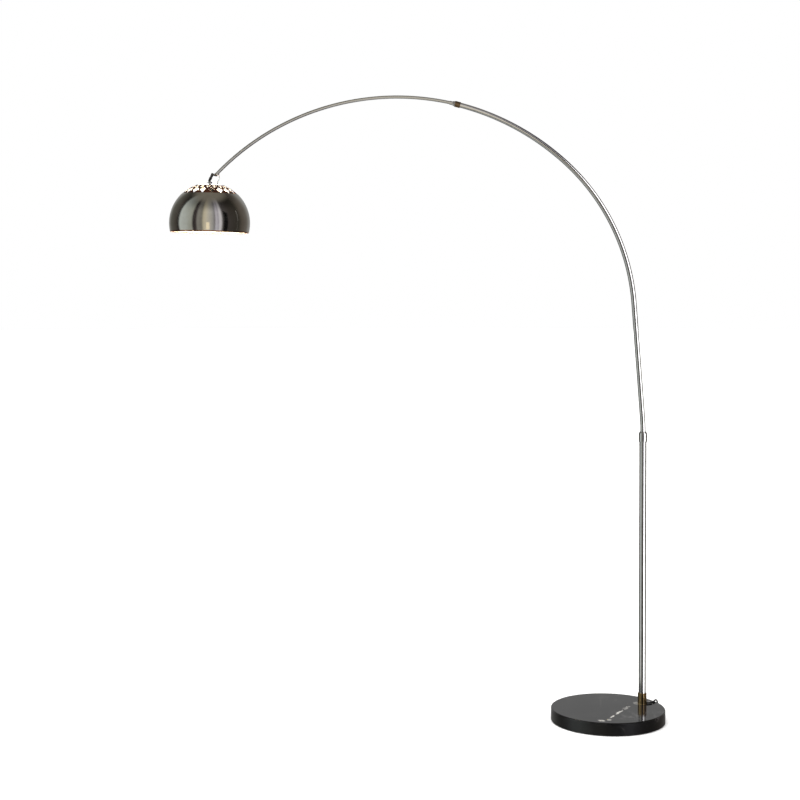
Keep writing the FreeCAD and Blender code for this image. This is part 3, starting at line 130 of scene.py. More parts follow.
class Graph:
    """The node tree of a material or of the world."""

    def __init__(self, tree: bpy.types.NodeTree) -> None:
        """Start an empty graph in a node tree."""
        self.tree = tree
        tree.nodes.clear()

    def add(self, kind: str, settings: dict[str, object] | None = None,
            inputs: dict[str | int, object] | None = None) -> bpy.types.Node:
        """Add a node.

        Args:
            kind: The node's type name.
            settings: Properties set first; "stops" holds a ramp's positions and colours.
            inputs: Values or signals for its sockets, by name or number.

        Returns:
            The new node.
        """
        node = self.tree.nodes.new(kind)
        for name, value in (settings or {}).items():
            if name == "stops":
                self._set_stops(node.color_ramp, value)
            else:
                setattr(node, name, value)
        for key, value in (inputs or {}).items():
            if isinstance(value, Signal):
                self.tree.links.new(value.socket, node.inputs[key])
            else:
                node.inputs[key].default_value = value
        return node

    @staticmethod
    def _set_stops(ramp: bpy.types.ColorRamp, stops: Sequence[tuple[float, Colour]]) -> None:
        """Give a ramp its stops.

        Args:
            ramp: The ramp to fill.
            stops: Pairs of position and colour, from low to high.
        """
        while len(ramp.elements) < len(stops):
            ramp.elements.new(1.0)
        for element, (position, colour) in zip(ramp.elements, stops):
            element.position = position
            element.color = (*colour, 1.0)

    def signal(self, node: bpy.types.Node, output: str | int = 0) -> Signal:
        """One of a node's outputs."""
        return Signal(self, node.outputs[output])

    def math(self, operation: str, first: Operand, second: Operand = 0.0) -> Signal:
        """The result of a Math node."""
        return self.signal(self.add("ShaderNodeMath", {"operation": operation}, {0: first, 1: second}))

    def distance(self, first: Signal, second: Point) -> Signal:
        """How far a place is from a fixed one."""
        node = self.add("ShaderNodeVectorMath", {"operation": "DISTANCE"}, {0: first, 1: second})
        return self.signal(node, "Value")

    def place(self) -> Signal:
        """The point's place in the lamp's own frame, in metres."""
        return self.signal(self.add("ShaderNodeTexCoord"), "Object")

    def split(self, vector: Signal) -> tuple[Signal, Signal, Signal]:
        """The three parts of a vector."""
        node = self.add("ShaderNodeSeparateXYZ", {}, {0: vector})
        return self.signal(node, 0), self.signal(node, 1), self.signal(node, 2)

    def joined(self, x: Operand, y: Operand, z: Operand) -> Signal:
        """A vector of three parts."""
        return self.signal(self.add("ShaderNodeCombineXYZ", {}, {0: x, 1: y, 2: z}))

    def noise(self, place: Signal, scale: float, detail: float = 3.0, roughness: float = 0.5,
              distortion: float = 0.0) -> Signal:
        """Smooth noise around one half.

        Args:
            place: Where it is read.
            scale: Repeats per metre.
            detail: Number of finer layers.
            roughness: Weight of the finer layers.
            distortion: How far it is stirred.

        Returns:
            The noise.
        """
        node = self.add("ShaderNodeTexNoise", {}, {
            "Vector": place, "Scale": scale, "Detail": detail, "Roughness": roughness,
            "Distortion": distortion})
        return self.signal(node, 0)

    def ramp(self, value: Signal, low: float, high: float) -> Signal:
        """Smooth step from 0 at low to 1 at high."""
        node = self.add("ShaderNodeMapRange", {"interpolation_type": "SMOOTHSTEP"}, {
            "Value": value, "From Min": low, "From Max": high})
        return self.signal(node, 0)

    def mix(self, share: Operand, first: Colour | Signal, second: Colour | Signal) -> Signal:
        """Two colours mixed.

        Args:
            share: How much of the second colour.
            first: Colour where share is 0.
            second: Colour where share is 1.

        Returns:
            The mixed colour.
        """
        first, second = [c if isinstance(c, Signal) else (*c, 1.0) for c in (first, second)]
        node = self.add("ShaderNodeMix", {"data_type": "RGBA"}, {0: share, 6: first, 7: second})
        return self.signal(node, 2)

    def bump(self, height: Signal, distance: float, strength: float = 1.0) -> Signal:
        """A normal that follows a height, whose full swing is a distance in metres."""
        node = self.add("ShaderNodeBump", {}, {
            "Strength": strength, "Distance": distance, "Height": height})
        return self.signal(node, "Normal")

    def surface(self, **inputs: object) -> bpy.types.Node:
        """Principled surface joined to the output, its sockets named with underscores."""
        values = {name.replace("_", " "): value for name, value in inputs.items()}
        for name, value in values.items():
            if isinstance(value, tuple) and len(value) == 3:
                values[name] = (*value, 1.0)
        shader = self.add("ShaderNodeBsdfPrincipled", {}, values)
        self.add("ShaderNodeOutputMaterial", {}, {"Surface": self.signal(shader)})
        return shader


def new_material(name: str) -> tuple[bpy.types.Material, Graph]:
    """A fresh material and its empty graph."""
    material = bpy.data.materials.new(name)
    material.use_nodes = True
    return material, Graph(material.node_tree)


# -------------------------------------------------------------------------------------- finishes
class Grain(Enum):
    """How a metal's fine lines run."""

    TURNED = "rings about the vertical"
    PLAIN = "no lines"


@dataclass(frozen=True)
class Metal:
    """Bare or plated metal with fine tool lines, faint wear and small changes of tone."""

    name: str
    colour: Colour
    shade: Colour
    roughness: float
    roughness_swing: float = 0.08
    grain: Grain = Grain.PLAIN
    grain_scale: float = 900.0
    grain_depth: float = 0.000004
    tone_scale: float = 30.0

    def build(self) -> bpy.types.Material:
        """The finished material."""
        material, graph = new_material(self.name)
        place = graph.place()
        x, y, z = graph.split(place)
        if self.grain is Grain.TURNED:
            lines = graph.noise(graph.joined(x * 0.02, y * 0.02, z), self.grain_scale, 2.0, 0.6)
        else:
            lines = graph.noise(place, self.grain_scale, 2.0, 0.6)
        cloud = graph.noise(place, self.tone_scale, 3.0, 0.55)
        specks = graph.ramp(graph.noise(place, 700.0, 2.0, 0.7), 0.66, 0.8)
        tone = graph.ramp(cloud, 0.3, 0.7)
        dulled = (self.roughness - self.roughness_swing / 2) + tone * self.roughness_swing + specks * 0.12
        graph.surface(
            Base_Color=graph.mix((tone * 0.7 + lines * 0.3).clamped(), self.shade, self.colour),
            Metallic=1.0, Roughness=dulled.clamped(),
            Normal=graph.bump(lines, self.grain_depth))
        return material


@dataclass(frozen=True)
class LinedMetal(Metal):
    """Metal whose inner face, nearer than a radius to a centre, is enamelled."""

    inner_radius: float = 0.1229
    edge: float = 0.0001
    enamel: Colour = (0.90, 0.89, 0.88)

    def lined(self, centre: Point) -> bpy.types.Material:
        """The finished material.

        Args:
            centre: Centre of the ball that the piece is part of, in metres.

        Returns:
            The material.
        """
        material, graph = new_material(self.name)
        place = graph.place()
        away = graph.distance(place, tuple(centre))
        bare = graph.ramp(away, self.inner_radius - self.edge, self.inner_radius + self.edge)
        tone = graph.ramp(graph.noise(place, self.tone_scale, 3.0, 0.55), 0.3, 0.7)
        lines = graph.noise(place, self.grain_scale, 2.0, 0.6)
        graph.surface(
            Base_Color=graph.mix(bare, self.enamel, graph.mix(tone, self.shade, self.colour)),
            Metallic=bare, Roughness=(self.roughness + tone * self.roughness_swing).clamped(),
            Normal=graph.bump(lines, self.grain_depth))
        return material


@dataclass(frozen=True)
class Moulded:
    """Moulded plastic or rubber with a fine texture and faint dust."""

    name: str
    colour: Colour
    dust: Colour
    roughness: float
    texture_scale: float = 1500.0
    texture_depth: float = 0.00004
    transmission: float = 0.0
    subsurface: float = 0.0

    def build(self) -> bpy.types.Material:
        """The finished material."""
        material, graph = new_material(self.name)
        place = graph.place()
        pores = graph.noise(place, self.texture_scale, 3.0, 0.6)
        dust = graph.ramp(graph.noise(place, 60.0, 5.0, 0.65), 0.5, 0.8)
        graph.surface(
            Base_Color=graph.mix(dust * 0.35, self.colour, self.dust),
            Roughness=(self.roughness + dust * 0.15 + (pores - 0.5) * 0.1).clamped(),
            Transmission_Weight=self.transmission,
            Subsurface_Weight=self.subsurface,
            Normal=graph.bump(pores, self.texture_depth))
        return material


@dataclass(frozen=True)
class Patch:
    """Pale ragged mark on the marble's top: its middle, half sizes, turn in degrees and strength."""

    x: float
    y: float
    half_length: float
    half_width: float
    turn: float
    strength: float

    def mask(self, x: Signal, y: Signal, ragged: Signal) -> Signal:
        """How much of the mark there is at a point.

        Args:
            x: The point's place to the right.
            y: The point's place to the back.
            ragged: Fine noise that frays the mark's edge.

        Returns:
            The share of the mark.
        """
        cosine, sine = math.cos(math.radians(self.turn)), math.sin(math.radians(self.turn))
        along = ((x - self.x) * cosine + (y - self.y) * sine) / self.half_length
        across = ((y - self.y) * cosine - (x - self.x) * sine) / self.half_width
        inside = 1.0 - (along * along + across * across) + (ragged - 0.5) * 4.2
        return x.graph.ramp(inside, 0.1, 1.1) * self.strength


@dataclass(frozen=True)
class PolishedMarble:
    """Near-black marble with pale broken veins, polished on top and finely ground at the side."""

    name: str
    ground: Colour = (0.0025, 0.0025, 0.003)
    cloud: Colour = (0.008, 0.0078, 0.008)
    vein: Colour = (0.62, 0.60, 0.56)
    hairline: Colour = (0.16, 0.15, 0.15)
    patches: tuple[Patch, ...] = ()
    mark_depth: tuple[float, float] = (0.031, 0.041)
    polish_depth: tuple[float, float] = (0.0355, 0.0385)

    def build(self) -> bpy.types.Material:
        """The finished material."""
        material, graph = new_material(self.name)
        place = graph.place()
        x, y, z = graph.split(place)
        stir = graph.noise(place, 9.0, 4.0, 0.6)
        cloud = graph.ramp(graph.noise(place, 14.0, 5.0, 0.62, 0.6), 0.35, 0.75)
        crease = graph.math("ABSOLUTE", graph.noise(place, 7.0, 6.0, 0.6, 1.4) - 0.5)
        hair = (1.0 - crease * 90.0).clamped() * graph.ramp(graph.noise(place, 6.0, 2.0, 0.5), 0.5, 0.72)
        ragged = graph.noise(place, 120.0, 4.0, 0.72)
        top = graph.ramp(z, *self.mark_depth)
        spots = None
        for patch in self.patches:
            spot = patch.mask(x, y, ragged) * top
            spots = spot if spots is None else graph.math("MAXIMUM", spots, spot)
        colour = graph.mix(cloud, self.ground, self.cloud)
        colour = graph.mix((hair * 0.8).clamped(), colour, self.hairline)
        if spots is not None:
            colour = graph.mix((spots * (0.45 + ragged * 0.7)).clamped(), colour, self.vein)
        rough = graph.noise(place, 260.0, 3.0, 0.6)
        ground = 1.0 - graph.ramp(z, *self.polish_depth)
        graph.surface(
            Base_Color=colour, IOR=1.5, Normal=graph.bump(rough, 0.00001),
            Roughness=(0.07 + rough * 0.05 + stir * 0.02 + ground * 0.28).clamped())
        return material


@dataclass(frozen=True)
class Felt:
    """Pressed dark felt."""

    name: str
    colour: Colour = (0.012, 0.012, 0.013)
    fibre: Colour = (0.06, 0.06, 0.065)

    def build(self) -> bpy.types.Material:
        """The finished material."""
        material, graph = new_material(self.name)
        place = graph.place()
        fibres = graph.noise(place, 1400.0, 4.0, 0.75, 1.0)
        graph.surface(Base_Color=graph.mix(graph.ramp(fibres, 0.45, 0.75), self.colour, self.fibre),
                      Roughness=0.95, Sheen_Weight=0.3, Normal=graph.bump(fibres, 0.0004))
        return material


@dataclass(frozen=True)
class OpalGlass:
    """White-coated glass of a bulb, seen from outside."""

    name: str
    colour: Colour = (0.92, 0.89, 0.82)
    haze: Colour = (0.98, 0.96, 0.92)
    glow: Colour = (1.0, 0.84, 0.58)
    strength: float = 26.0

    def build(self) -> bpy.types.Material:
        """The finished material."""
        material, graph = new_material(self.name)
        place = graph.place()
        haze = graph.noise(place, 45.0, 3.0, 0.5)
        graph.surface(Base_Color=graph.mix(haze, self.colour, self.haze),
                      Roughness=(0.12 + haze * 0.08).clamped(), Subsurface_Weight=0.25,
                      Emission_Color=self.glow, Emission_Strength=self.strength,
                      Normal=graph.bump(graph.noise(place, 90.0, 2.0), 0.00003))
        return material


MARBLE = PolishedMarble("black_marble", patches=(
    Patch(0.0966, 0.053, 0.013, 0.021, 0.0, 0.40),
    Patch(0.137, 0.072, 0.005, 0.012, 0.0, 0.35),
    Patch(0.144, 0.047, 0.003, 0.009, 0.0, 0.35),
    Patch(0.056, -0.004, 0.027, 0.0085, 62.0, 0.6),
    Patch(0.027, -0.054, 0.034, 0.0058, 61.0, 1.0),
    Patch(0.001, -0.099, 0.024, 0.0042, 60.0, 0.95),
    Patch(-0.014, -0.134, 0.011, 0.014, 0.0, 0.5),
    Patch(-0.037, -0.146, 0.012, 0.014, 20.0, 0.75),
    Patch(-0.015, 0.055, 0.0012, 0.075, -7.2, 0.10)))

FINISHES: dict[str, object] = {
    "felt": Felt("dark_felt"),
    "black_marble": MARBLE,
    "zinc_steel": Metal("zinc_plated_steel", (0.62, 0.62, 0.60), (0.45, 0.46, 0.47), 0.38),
    "brass": Metal("polished_brass", (0.66, 0.49, 0.24), (0.52, 0.36, 0.16), 0.1, 0.05),
    "bronze": Metal("dark_bronze", (0.25, 0.17, 0.10), (0.12, 0.08, 0.05), 0.32),
    # Rim bead: its red-brown colour is a painted reflection of the rolled edge.
    "copper_rim": Metal("rim_bead_painted_reflection", (0.24, 0.075, 0.04), (0.15, 0.045, 0.03), 0.34),
    "dark_steel": Metal("blackened_steel", (0.10, 0.10, 0.10), (0.04, 0.04, 0.04), 0.35),
    "black_rubber": Moulded("black_rubber", (0.012, 0.012, 0.012), (0.05, 0.05, 0.05), 0.7),
    "clear_plastic": Moulded("clear_sleeve", (0.80, 0.77, 0.70), (0.9, 0.88, 0.84), 0.25,
                             transmission=0.35, subsurface=0.3),
    "bright_nickel": Metal("bright_nickel", (0.66, 0.65, 0.65), (0.58, 0.57, 0.575), 0.16, 0.05,
                           grain_scale=300.0, grain_depth=0.0000005),
    "satin_nickel": Metal("satin_nickel", (0.62, 0.61, 0.60), (0.50, 0.50, 0.49), 0.3,
                          grain_scale=1200.0, grain_depth=0.000002),
    "nylon": Moulded("natural_nylon", (0.72, 0.71, 0.66), (0.8, 0.79, 0.75), 0.45, subsurface=0.2),
    "dark_nickel": Metal("spun_dark_nickel", (0.52, 0.505, 0.47), (0.44, 0.42, 0.38), 0.12, 0.05,
                         grain=Grain.TURNED, grain_scale=2200.0, grain_depth=0.000006),
    "brown_bronze": Metal("brown_bronze", (0.20, 0.11, 0.06), (0.09, 0.045, 0.028), 0.34,
                          grain_depth=0.000004),
    "bakelite": Moulded("dark_moulding", (0.014, 0.012, 0.011), (0.06, 0.055, 0.05), 0.3),
    "brass_contact": Metal("bright_brass", (0.72, 0.55, 0.26), (0.58, 0.42, 0.18), 0.24),
    "bulb_cap_metal": Metal("bulb_cap_aluminium", (0.75, 0.75, 0.74), (0.6, 0.6, 0.6), 0.3,
                            grain=Grain.TURNED),
    "opal_glass": OpalGlass("opal_glass"),
    "black_pvc": Moulded("black_pvc", (0.012, 0.012, 0.013), (0.045, 0.045, 0.045), 0.42),
    "black_plastic": Moulded("black_moulding", (0.014, 0.014, 0.015), (0.05, 0.05, 0.05), 0.32),
}
# Crown webs: the dome's metal shown darker and redder as painted shade; enamelled on the inside.
CROWN_PAINTED_SHADE = LinedMetal("crown_metal_painted_shade", (0.30, 0.11, 0.065), (0.15, 0.05, 0.035), 0.42)
# Tan band on the dome's outside just above the rim: a painted reflection of the rolled rim.
RIM_REFLECTION_BAND = Metal("painted_rim_reflection_band", (0.40, 0.24, 0.17), (0.31, 0.18, 0.13), 0.2, grain=Grain.TURNED,
                  grain_scale=2200.0)
LINING = Moulded("white_enamel", (0.88, 0.84, 0.76), (0.80, 0.74, 0.64), 0.35, 900.0, 0.00002)
# The CAD nodes that the panels beside and above the lamp light.
TUBES = ("post_tube", "lock_collar", "clutch_cone", "clutch_collet")
CROWN = ("crown_cap", "shade_hub")


class Wardrobe:
    """The materials, each built once and given out by its record slot."""

    def __init__(self) -> None:
        """Start with nothing built."""
        self._built: dict[str, bpy.types.Material] = {}

    def get(self, finish: object) -> bpy.types.Material:
        """The material of a finish."""
        if finish.name not in self._built:
            self._built[finish.name] = finish.build()
        return self._built[finish.name]

    def slot(self, name: str) -> bpy.types.Material:
        """The material of a record slot."""
        return self.get(FINISHES[name])

    def dress(self, piece: bpy.types.Object, material: bpy.types.Material) -> None:
        """Give a piece one material."""
        piece.data.materials.clear()
        piece.data.materials.append(material)

    def dress_frame(self, frame: dict) -> None:
        """Give every CAD node the finish of its record slot.
        """
        for entry in frame["record"]["subparts"]:
            node = frame["nodes"][entry["node"]]
            self.dress(node, self.slot(entry["material_slot"]))
        log.info("dressed %d nodes", len(frame["nodes"]))


# ------------------------------------------------------------------------------------ mesh tools
def link(piece: bpy.types.Object) -> bpy.types.Object:
    """Put an object in the scene."""
    bpy.context.scene.collection.objects.link(piece)
    return piece


def lathe(name: str, profile: Sequence[tuple[float, float]], steps: int, closed: bool = True,
          frame: Matrix | None = None, sharp_degrees: float = 35.0) -> bpy.types.Object:
    """Mesh turned about the vertical.

    Args:
        name: Name of the piece.
        profile: Pairs of radius and height.
        steps: Number of steps round.
        closed: Whether the profile's last point joins its first.
        frame: Where the turned shape goes.
        sharp_degrees: Edges that bend more than this stay crisp.

    Returns:
        The new piece.
    """
    mesh = bmesh.new()
    rings = []
    for radius, height in profile:
        if radius < 1e-7:
            rings.append([mesh.verts.new((0.0, 0.0, height))])
            continue
        rings.append([mesh.verts.new((radius * math.cos(2 * math.pi * k / steps),
                                      radius * math.sin(2 * math.pi * k / steps), height))
                      for k in range(steps)])
    pairs = list(zip(rings, rings[1:])) + ([(rings[-1], rings[0])] if closed else [])
    for low, high in pairs:
        for k in range(steps):
            corners = [low[k % len(low)], low[(k + 1) % len(low)],
                       high[(k + 1) % len(high)], high[k % len(high)]]
            corners = list(dict.fromkeys(corners))
            if len(corners) > 2:
                mesh.faces.new(corners)
    bmesh.ops.recalc_face_normals(mesh, faces=mesh.faces)
    return finished(name, mesh, frame, sharp_degrees)


def finished(name: str, mesh: bmesh.types.BMesh, frame: Matrix | None = None,
             sharp_degrees: float = 35.0) -> bpy.types.Object:
    """Object from a bmesh, smooth but for its sharp edges.

    Args:
        name: Name of the piece.
        mesh: Its mesh, freed here.
        frame: Where it goes.
        sharp_degrees: Edges that bend more than this stay crisp.

    Returns:
        The new piece.
    """
    if frame is not None:
        bmesh.ops.transform(mesh, matrix=frame, verts=mesh.verts)
    data = bpy.data.meshes.new(name)
    mesh.to_mesh(data)
    mesh.free()
    data.polygons.foreach_set("use_smooth", [True] * len(data.polygons))
    data.set_sharp_from_angle(angle=math.radians(sharp_degrees))
    return link(bpy.data.objects.new(name, data))


def bridge(mesh: bmesh.types.BMesh, low: Sequence, high: Sequence) -> None:
    """Faces between two rings of vertices."""
    count = len(low)
    for k in range(count):
        mesh.faces.new((low[k], low[(k + 1) % count], high[(k + 1) % count], high[k]))


def spline_curve(name: str, points: Iterable[Point], radius: float, resolution: int) -> bpy.types.Object:
    """Round curve that follows control points smoothly.

    Args:
        name: Name of the piece.
        points: Its control points in metres.
        radius: Radius of the cord, or 0 for a bare line.
        resolution: Steps between control points.

    Returns:
        The new curve.
    """
    data = bpy.data.curves.new(name, "CURVE")
    data.dimensions = "3D"
    data.bevel_depth = radius
    data.bevel_resolution = 5
    data.use_fill_caps = True
    line = data.splines.new("NURBS")
    points = list(points)
    line.points.add(len(points) - 1)
    for slot, point in zip(line.points, points):
        slot.co = (*point, 1.0)
    line.order_u = 3
    line.use_endpoint_u = True
    line.resolution_u = resolution
    return link(bpy.data.objects.new(name, data))


def read_line(curve: bpy.types.Object) -> list[Vector]:
    """The points that a bare curve's smooth line passes through, in order."""
    mesh = bpy.data.meshes.new_from_object(curve)
    points = [vertex.co.copy() for vertex in mesh.vertices]
    bpy.data.meshes.remove(mesh)
    return points


# ------------------------------------------------------------------------------------ mains lead
@dataclass
class MainsLead:
    """Mains lead: over the base's back edge, through the foot switch, round the coil to the plug."""

    diameter: float = 0.005
    length: float = 1.75
    coil_centre: tuple[float, float] = (-0.034, 0.218)
    coil_inner: float = 0.0225
    coil_pitch: float = 0.005
    coil_turns_wide: int = 4
    lower_layer: float = 0.0033
    upper_layer: float = 0.0083
    step_degrees: float = 20.0
    enter_degrees: float = 56.0
    leave_degrees: float = 2625.5
    to_switch: tuple[Point, ...] = (
        (0.126, 0.043, 0.0432), (0.1342, 0.0454, 0.043), (0.1418, 0.0502, 0.0428),
        (0.1482, 0.0574, 0.0428), (0.1533, 0.0666, 0.043), (0.1578, 0.0775, 0.0437),
        (0.1632, 0.0883, 0.0414), (0.1682, 0.0997, 0.033), (0.171, 0.112, 0.021), (0.1685, 0.1245, 0.010),
        (0.1605, 0.1355, 0.004), (0.149, 0.1445, 0.0026), (0.138, 0.152, 0.006),
        (0.1246, 0.1591, 0.0102))
    to_coil: tuple[Point, ...] = (
        (0.0622, 0.1923, 0.0102), (0.050, 0.1989, 0.007), (0.038, 0.2068, 0.0044), (0.025, 0.216, 0.0034),
        (0.011, 0.227, 0.0033), (-0.0025, 0.2386, 0.0033), (-0.0135, 0.2484, 0.0033))
    to_plug: tuple[Point, ...] = (
        (-0.044, 0.254, 0.0083), (-0.055, 0.250, 0.0078), (-0.066, 0.243, 0.0068),
        (-0.075, 0.2335, 0.0063), (-0.0825, 0.223, 0.0069))

    def coil_place(self, degrees: float) -> tuple[float, float]:
        """Radius and height of the coil's line at an angle wound so far.

        Args:
            degrees: Angle from the coil's zero, over all its turns.

        Returns:
            The radius and the height, in metres.
        """
        def risen(starts: Sequence[float]) -> float:
            """Sum of smooth steps 60 degrees long."""
            total = 0.0
            for start in starts:
                share = min(max((degrees - start) / 60.0, 0.0), 1.0)
                total += share * share * (3 - 2 * share)
            return total
        inward = risen((320.0, 680.0, 1040.0))
        outward = risen((1640.0, 2000.0, 2360.0))
        widest = self.coil_inner + self.coil_pitch * (self.coil_turns_wide - 1)
        radius = widest - self.coil_pitch * (inward - outward)
        height = self.lower_layer + (self.upper_layer - self.lower_layer) * risen((1340.0,))
        return radius, height

    def coil_points(self) -> list[Point]:
        """Control points of the coil's turns, set out a little so that the line has the true radius."""
        step = math.radians(self.step_degrees)
        spread = 1.0 / (0.75 + 0.25 * math.cos(step))
        count = int((self.leave_degrees - self.enter_degrees) / self.step_degrees)
        points = []
        for index in range(1, count):
            degrees = self.enter_degrees + index * self.step_degrees
            radius, height = self.coil_place(degrees)
            angle = math.radians(degrees)
            points.append((self.coil_centre[0] + radius * spread * math.cos(angle),
                           self.coil_centre[1] + radius * spread * math.sin(angle), height))
        return points

    def build(self, wardrobe: Wardrobe) -> list[bpy.types.Object]:
        """Build the lead and its plug.

        Args:
            wardrobe: The materials.

        Returns:
            The new pieces.
        """
        route = [*self.to_switch, *self.to_coil, *self.coil_points(), *self.to_plug]
        lead = spline_curve("mains_lead", route, self.diameter / 2, 6)
        wardrobe.dress(lead, wardrobe.slot("black_pvc"))
        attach(lead, "base")
        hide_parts("mains_cord", "mains_cord_middle", "mains_cord_tail", "mains_cord_coil")
        plug = MainsPlug().build(wardrobe, self.to_plug[-2:])
        return [lead, plug]


@dataclass
class MainsPlug:
    """Flat two-pin plug with rounded edges and a ribbed, tapered strain relief."""

    start: float = 0.004
    length: float = 0.036
    width: float = 0.026
    height: float = 0.0138
    relief_length: float = 0.022
    relief_radius: tuple[float, float] = (0.0031, 0.0048)
    rib_depth: float = 0.0005
    rib_pitch: float = 0.0025
    edge: float = 0.0015
    steps: int = 48

    def sections(self) -> list[tuple[float, float, float, float]]:
        """Place along the plug, half width, half height and squareness of each cross-section."""
        thin, thick = self.relief_radius
        count = int(self.relief_length / self.rib_pitch)
        found = []
        rib = ((0.0, 0.0), (0.15, self.rib_depth), (0.55, self.rib_depth), (0.7, 0.0))
        for index in range(count):
            place = self.start - self.relief_length + index * self.rib_pitch
            base = thin + (thick - thin) * index / count
            for share, rise in rib:
                found.append((place + share * self.rib_pitch, base + rise, base + rise, 2.0))
        half_width, half_height = self.width / 2, self.height / 2
        end = self.start + self.length
        found += [(self.start, thick, thick, 2.0),
                  (self.start + 0.004, half_width * 0.66, half_height * 0.86, 2.6),
                  (self.start + 0.010, half_width * 0.96, half_height, 3.6),
                  (self.start + 0.015, half_width, half_height, 4.5),
                  (end - self.edge, half_width, half_height, 5.0),
                  (end - self.edge * 0.3, half_width - self.edge * 0.35,
                   half_height - self.edge * 0.35, 5.0),
                  (end, half_width - self.edge, half_height - self.edge, 5.0)]
        return found

    def build(self, wardrobe: Wardrobe, last: Sequence[Point]) -> bpy.types.Object:
        """Build the plug where the lead ends.

        Args:
            wardrobe: The materials.
            last: The lead's last two control points.

        Returns:
            The new piece.
        """
        before, end = Vector(last[0]), Vector(last[1])
        bearing = math.atan2(end.y - before.y, end.x - before.x)
        mesh = bmesh.new()
        rings = []
        for place, half_width, half_height, power in self.sections():
            ring = []
            for k in range(self.steps):
                angle = 2 * math.pi * k / self.steps
                across, up = math.cos(angle), math.sin(angle)
                ring.append(mesh.verts.new((
                    place, half_width * math.copysign(abs(across) ** (2 / power), across),
                    half_height * math.copysign(abs(up) ** (2 / power), up))))
            rings.append(ring)
        for low, high in zip(rings, rings[1:]):
            bridge(mesh, low, high)
        mesh.faces.new(rings[0])
        mesh.faces.new(reversed(rings[-1]))
        bmesh.ops.recalc_face_normals(mesh, faces=mesh.faces)
        place = Matrix.Translation((end.x, end.y, self.height / 2)) @ Matrix.Rotation(bearing, 4, "Z")
        plug = finished("moulded_plug", mesh, place, 50.0)
        wardrobe.dress(plug, wardrobe.slot("black_plastic"))
        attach(plug, "base")
        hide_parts("mains_plug")
        return plug


@dataclass
class ShadeLead:
    """Short clear lead from the arm's tip into the shade's cap."""

    diameter: float = 0.0026
    length: float = 0.0302
    offsets: tuple[tuple[float, float], ...] = (
        (0.0193, 0.0012), (0.0216, -0.0056), (0.0208, -0.0134), (0.0170, -0.0204), (0.0153, -0.0277))
    sides: int = 14

    def build(self, wardrobe: Wardrobe, pivot: Vector) -> bpy.types.Object:
        """Build the lead.

        Args:
            wardrobe: The materials.
            pivot: The shade's pivot.

        Returns:
            The new piece.
        """
        route = [(pivot.x + dx, pivot.y, pivot.z + dz) for dx, dz in self.offsets]
        guide = spline_curve("shade_lead_guide", route, 0.0, 8)
        points = read_line(guide)
        bpy.data.objects.remove(guide)
        mesh = bmesh.new()
        rings = []
        side = Vector((0.0, 1.0, 0.0))
        for index, point in enumerate(points):
            ahead = points[min(index + 1, len(points) - 1)] - points[max(index - 1, 0)]
            across = ahead.normalized().cross(side)
            ring = []
            for k in range(self.sides):
                angle = 2 * math.pi * k / self.sides
                spoke = side * math.cos(angle) + across * math.sin(angle)
                ring.append(mesh.verts.new(point + spoke * (self.diameter / 2)))
            rings.append(ring)
        for low, high in zip(rings, rings[1:]):
            bridge(mesh, low, high)
        mesh.faces.new(rings[0])
        mesh.faces.new(reversed(rings[-1]))
        bmesh.ops.recalc_face_normals(mesh, faces=mesh.faces)
        lead = finished("clear_lead", mesh)
        wardrobe.dress(lead, wardrobe.slot("clear_plastic"))
        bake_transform(lead)
        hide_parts("shade_lead")
        return lead


# ---------------------------------------------------------------------------------------- arm tubes
@dataclass
class BentTube:
    """Round tube swept along a plane line made of straight runs and bends."""

    node: str
    body: str
    slot: str
    diameter: float
    wall: float
    step: float = 0.004
    sides: int = 48

    def build(self, wardrobe: Wardrobe, line: Sequence[tuple[Vector, Vector]]) -> bpy.types.Object:
        """Build the tube.

        Args:
            wardrobe: The materials.
            line: Pairs of a point and the direction of travel there.

        Returns:
            The new piece.
        """
        mesh = bmesh.new()
        side = Vector((0.0, 1.0, 0.0))
        skins = []
        for radius in (self.diameter / 2, self.diameter / 2 - self.wall):
            rings = []
            for point, ahead in line:
                across = ahead.cross(side)
                turns = [2 * math.pi * k / self.sides for k in range(self.sides)]
                rings.append([mesh.verts.new(
                    point + radius * (side * math.cos(turn) + across * math.sin(turn))) for turn in turns])
            for low, high in zip(rings, rings[1:]):
                bridge(mesh, low, high)
            skins.append(rings)
        for end in (0, -1):
            bridge(mesh, skins[0][end], skins[1][end])
        bmesh.ops.recalc_face_normals(mesh, faces=mesh.faces)
        tube = finished(self.node + "_fine", mesh)
        wardrobe.dress(tube, wardrobe.slot(self.slot))
        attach(tube, self.body)
        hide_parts(self.node)
        return tube


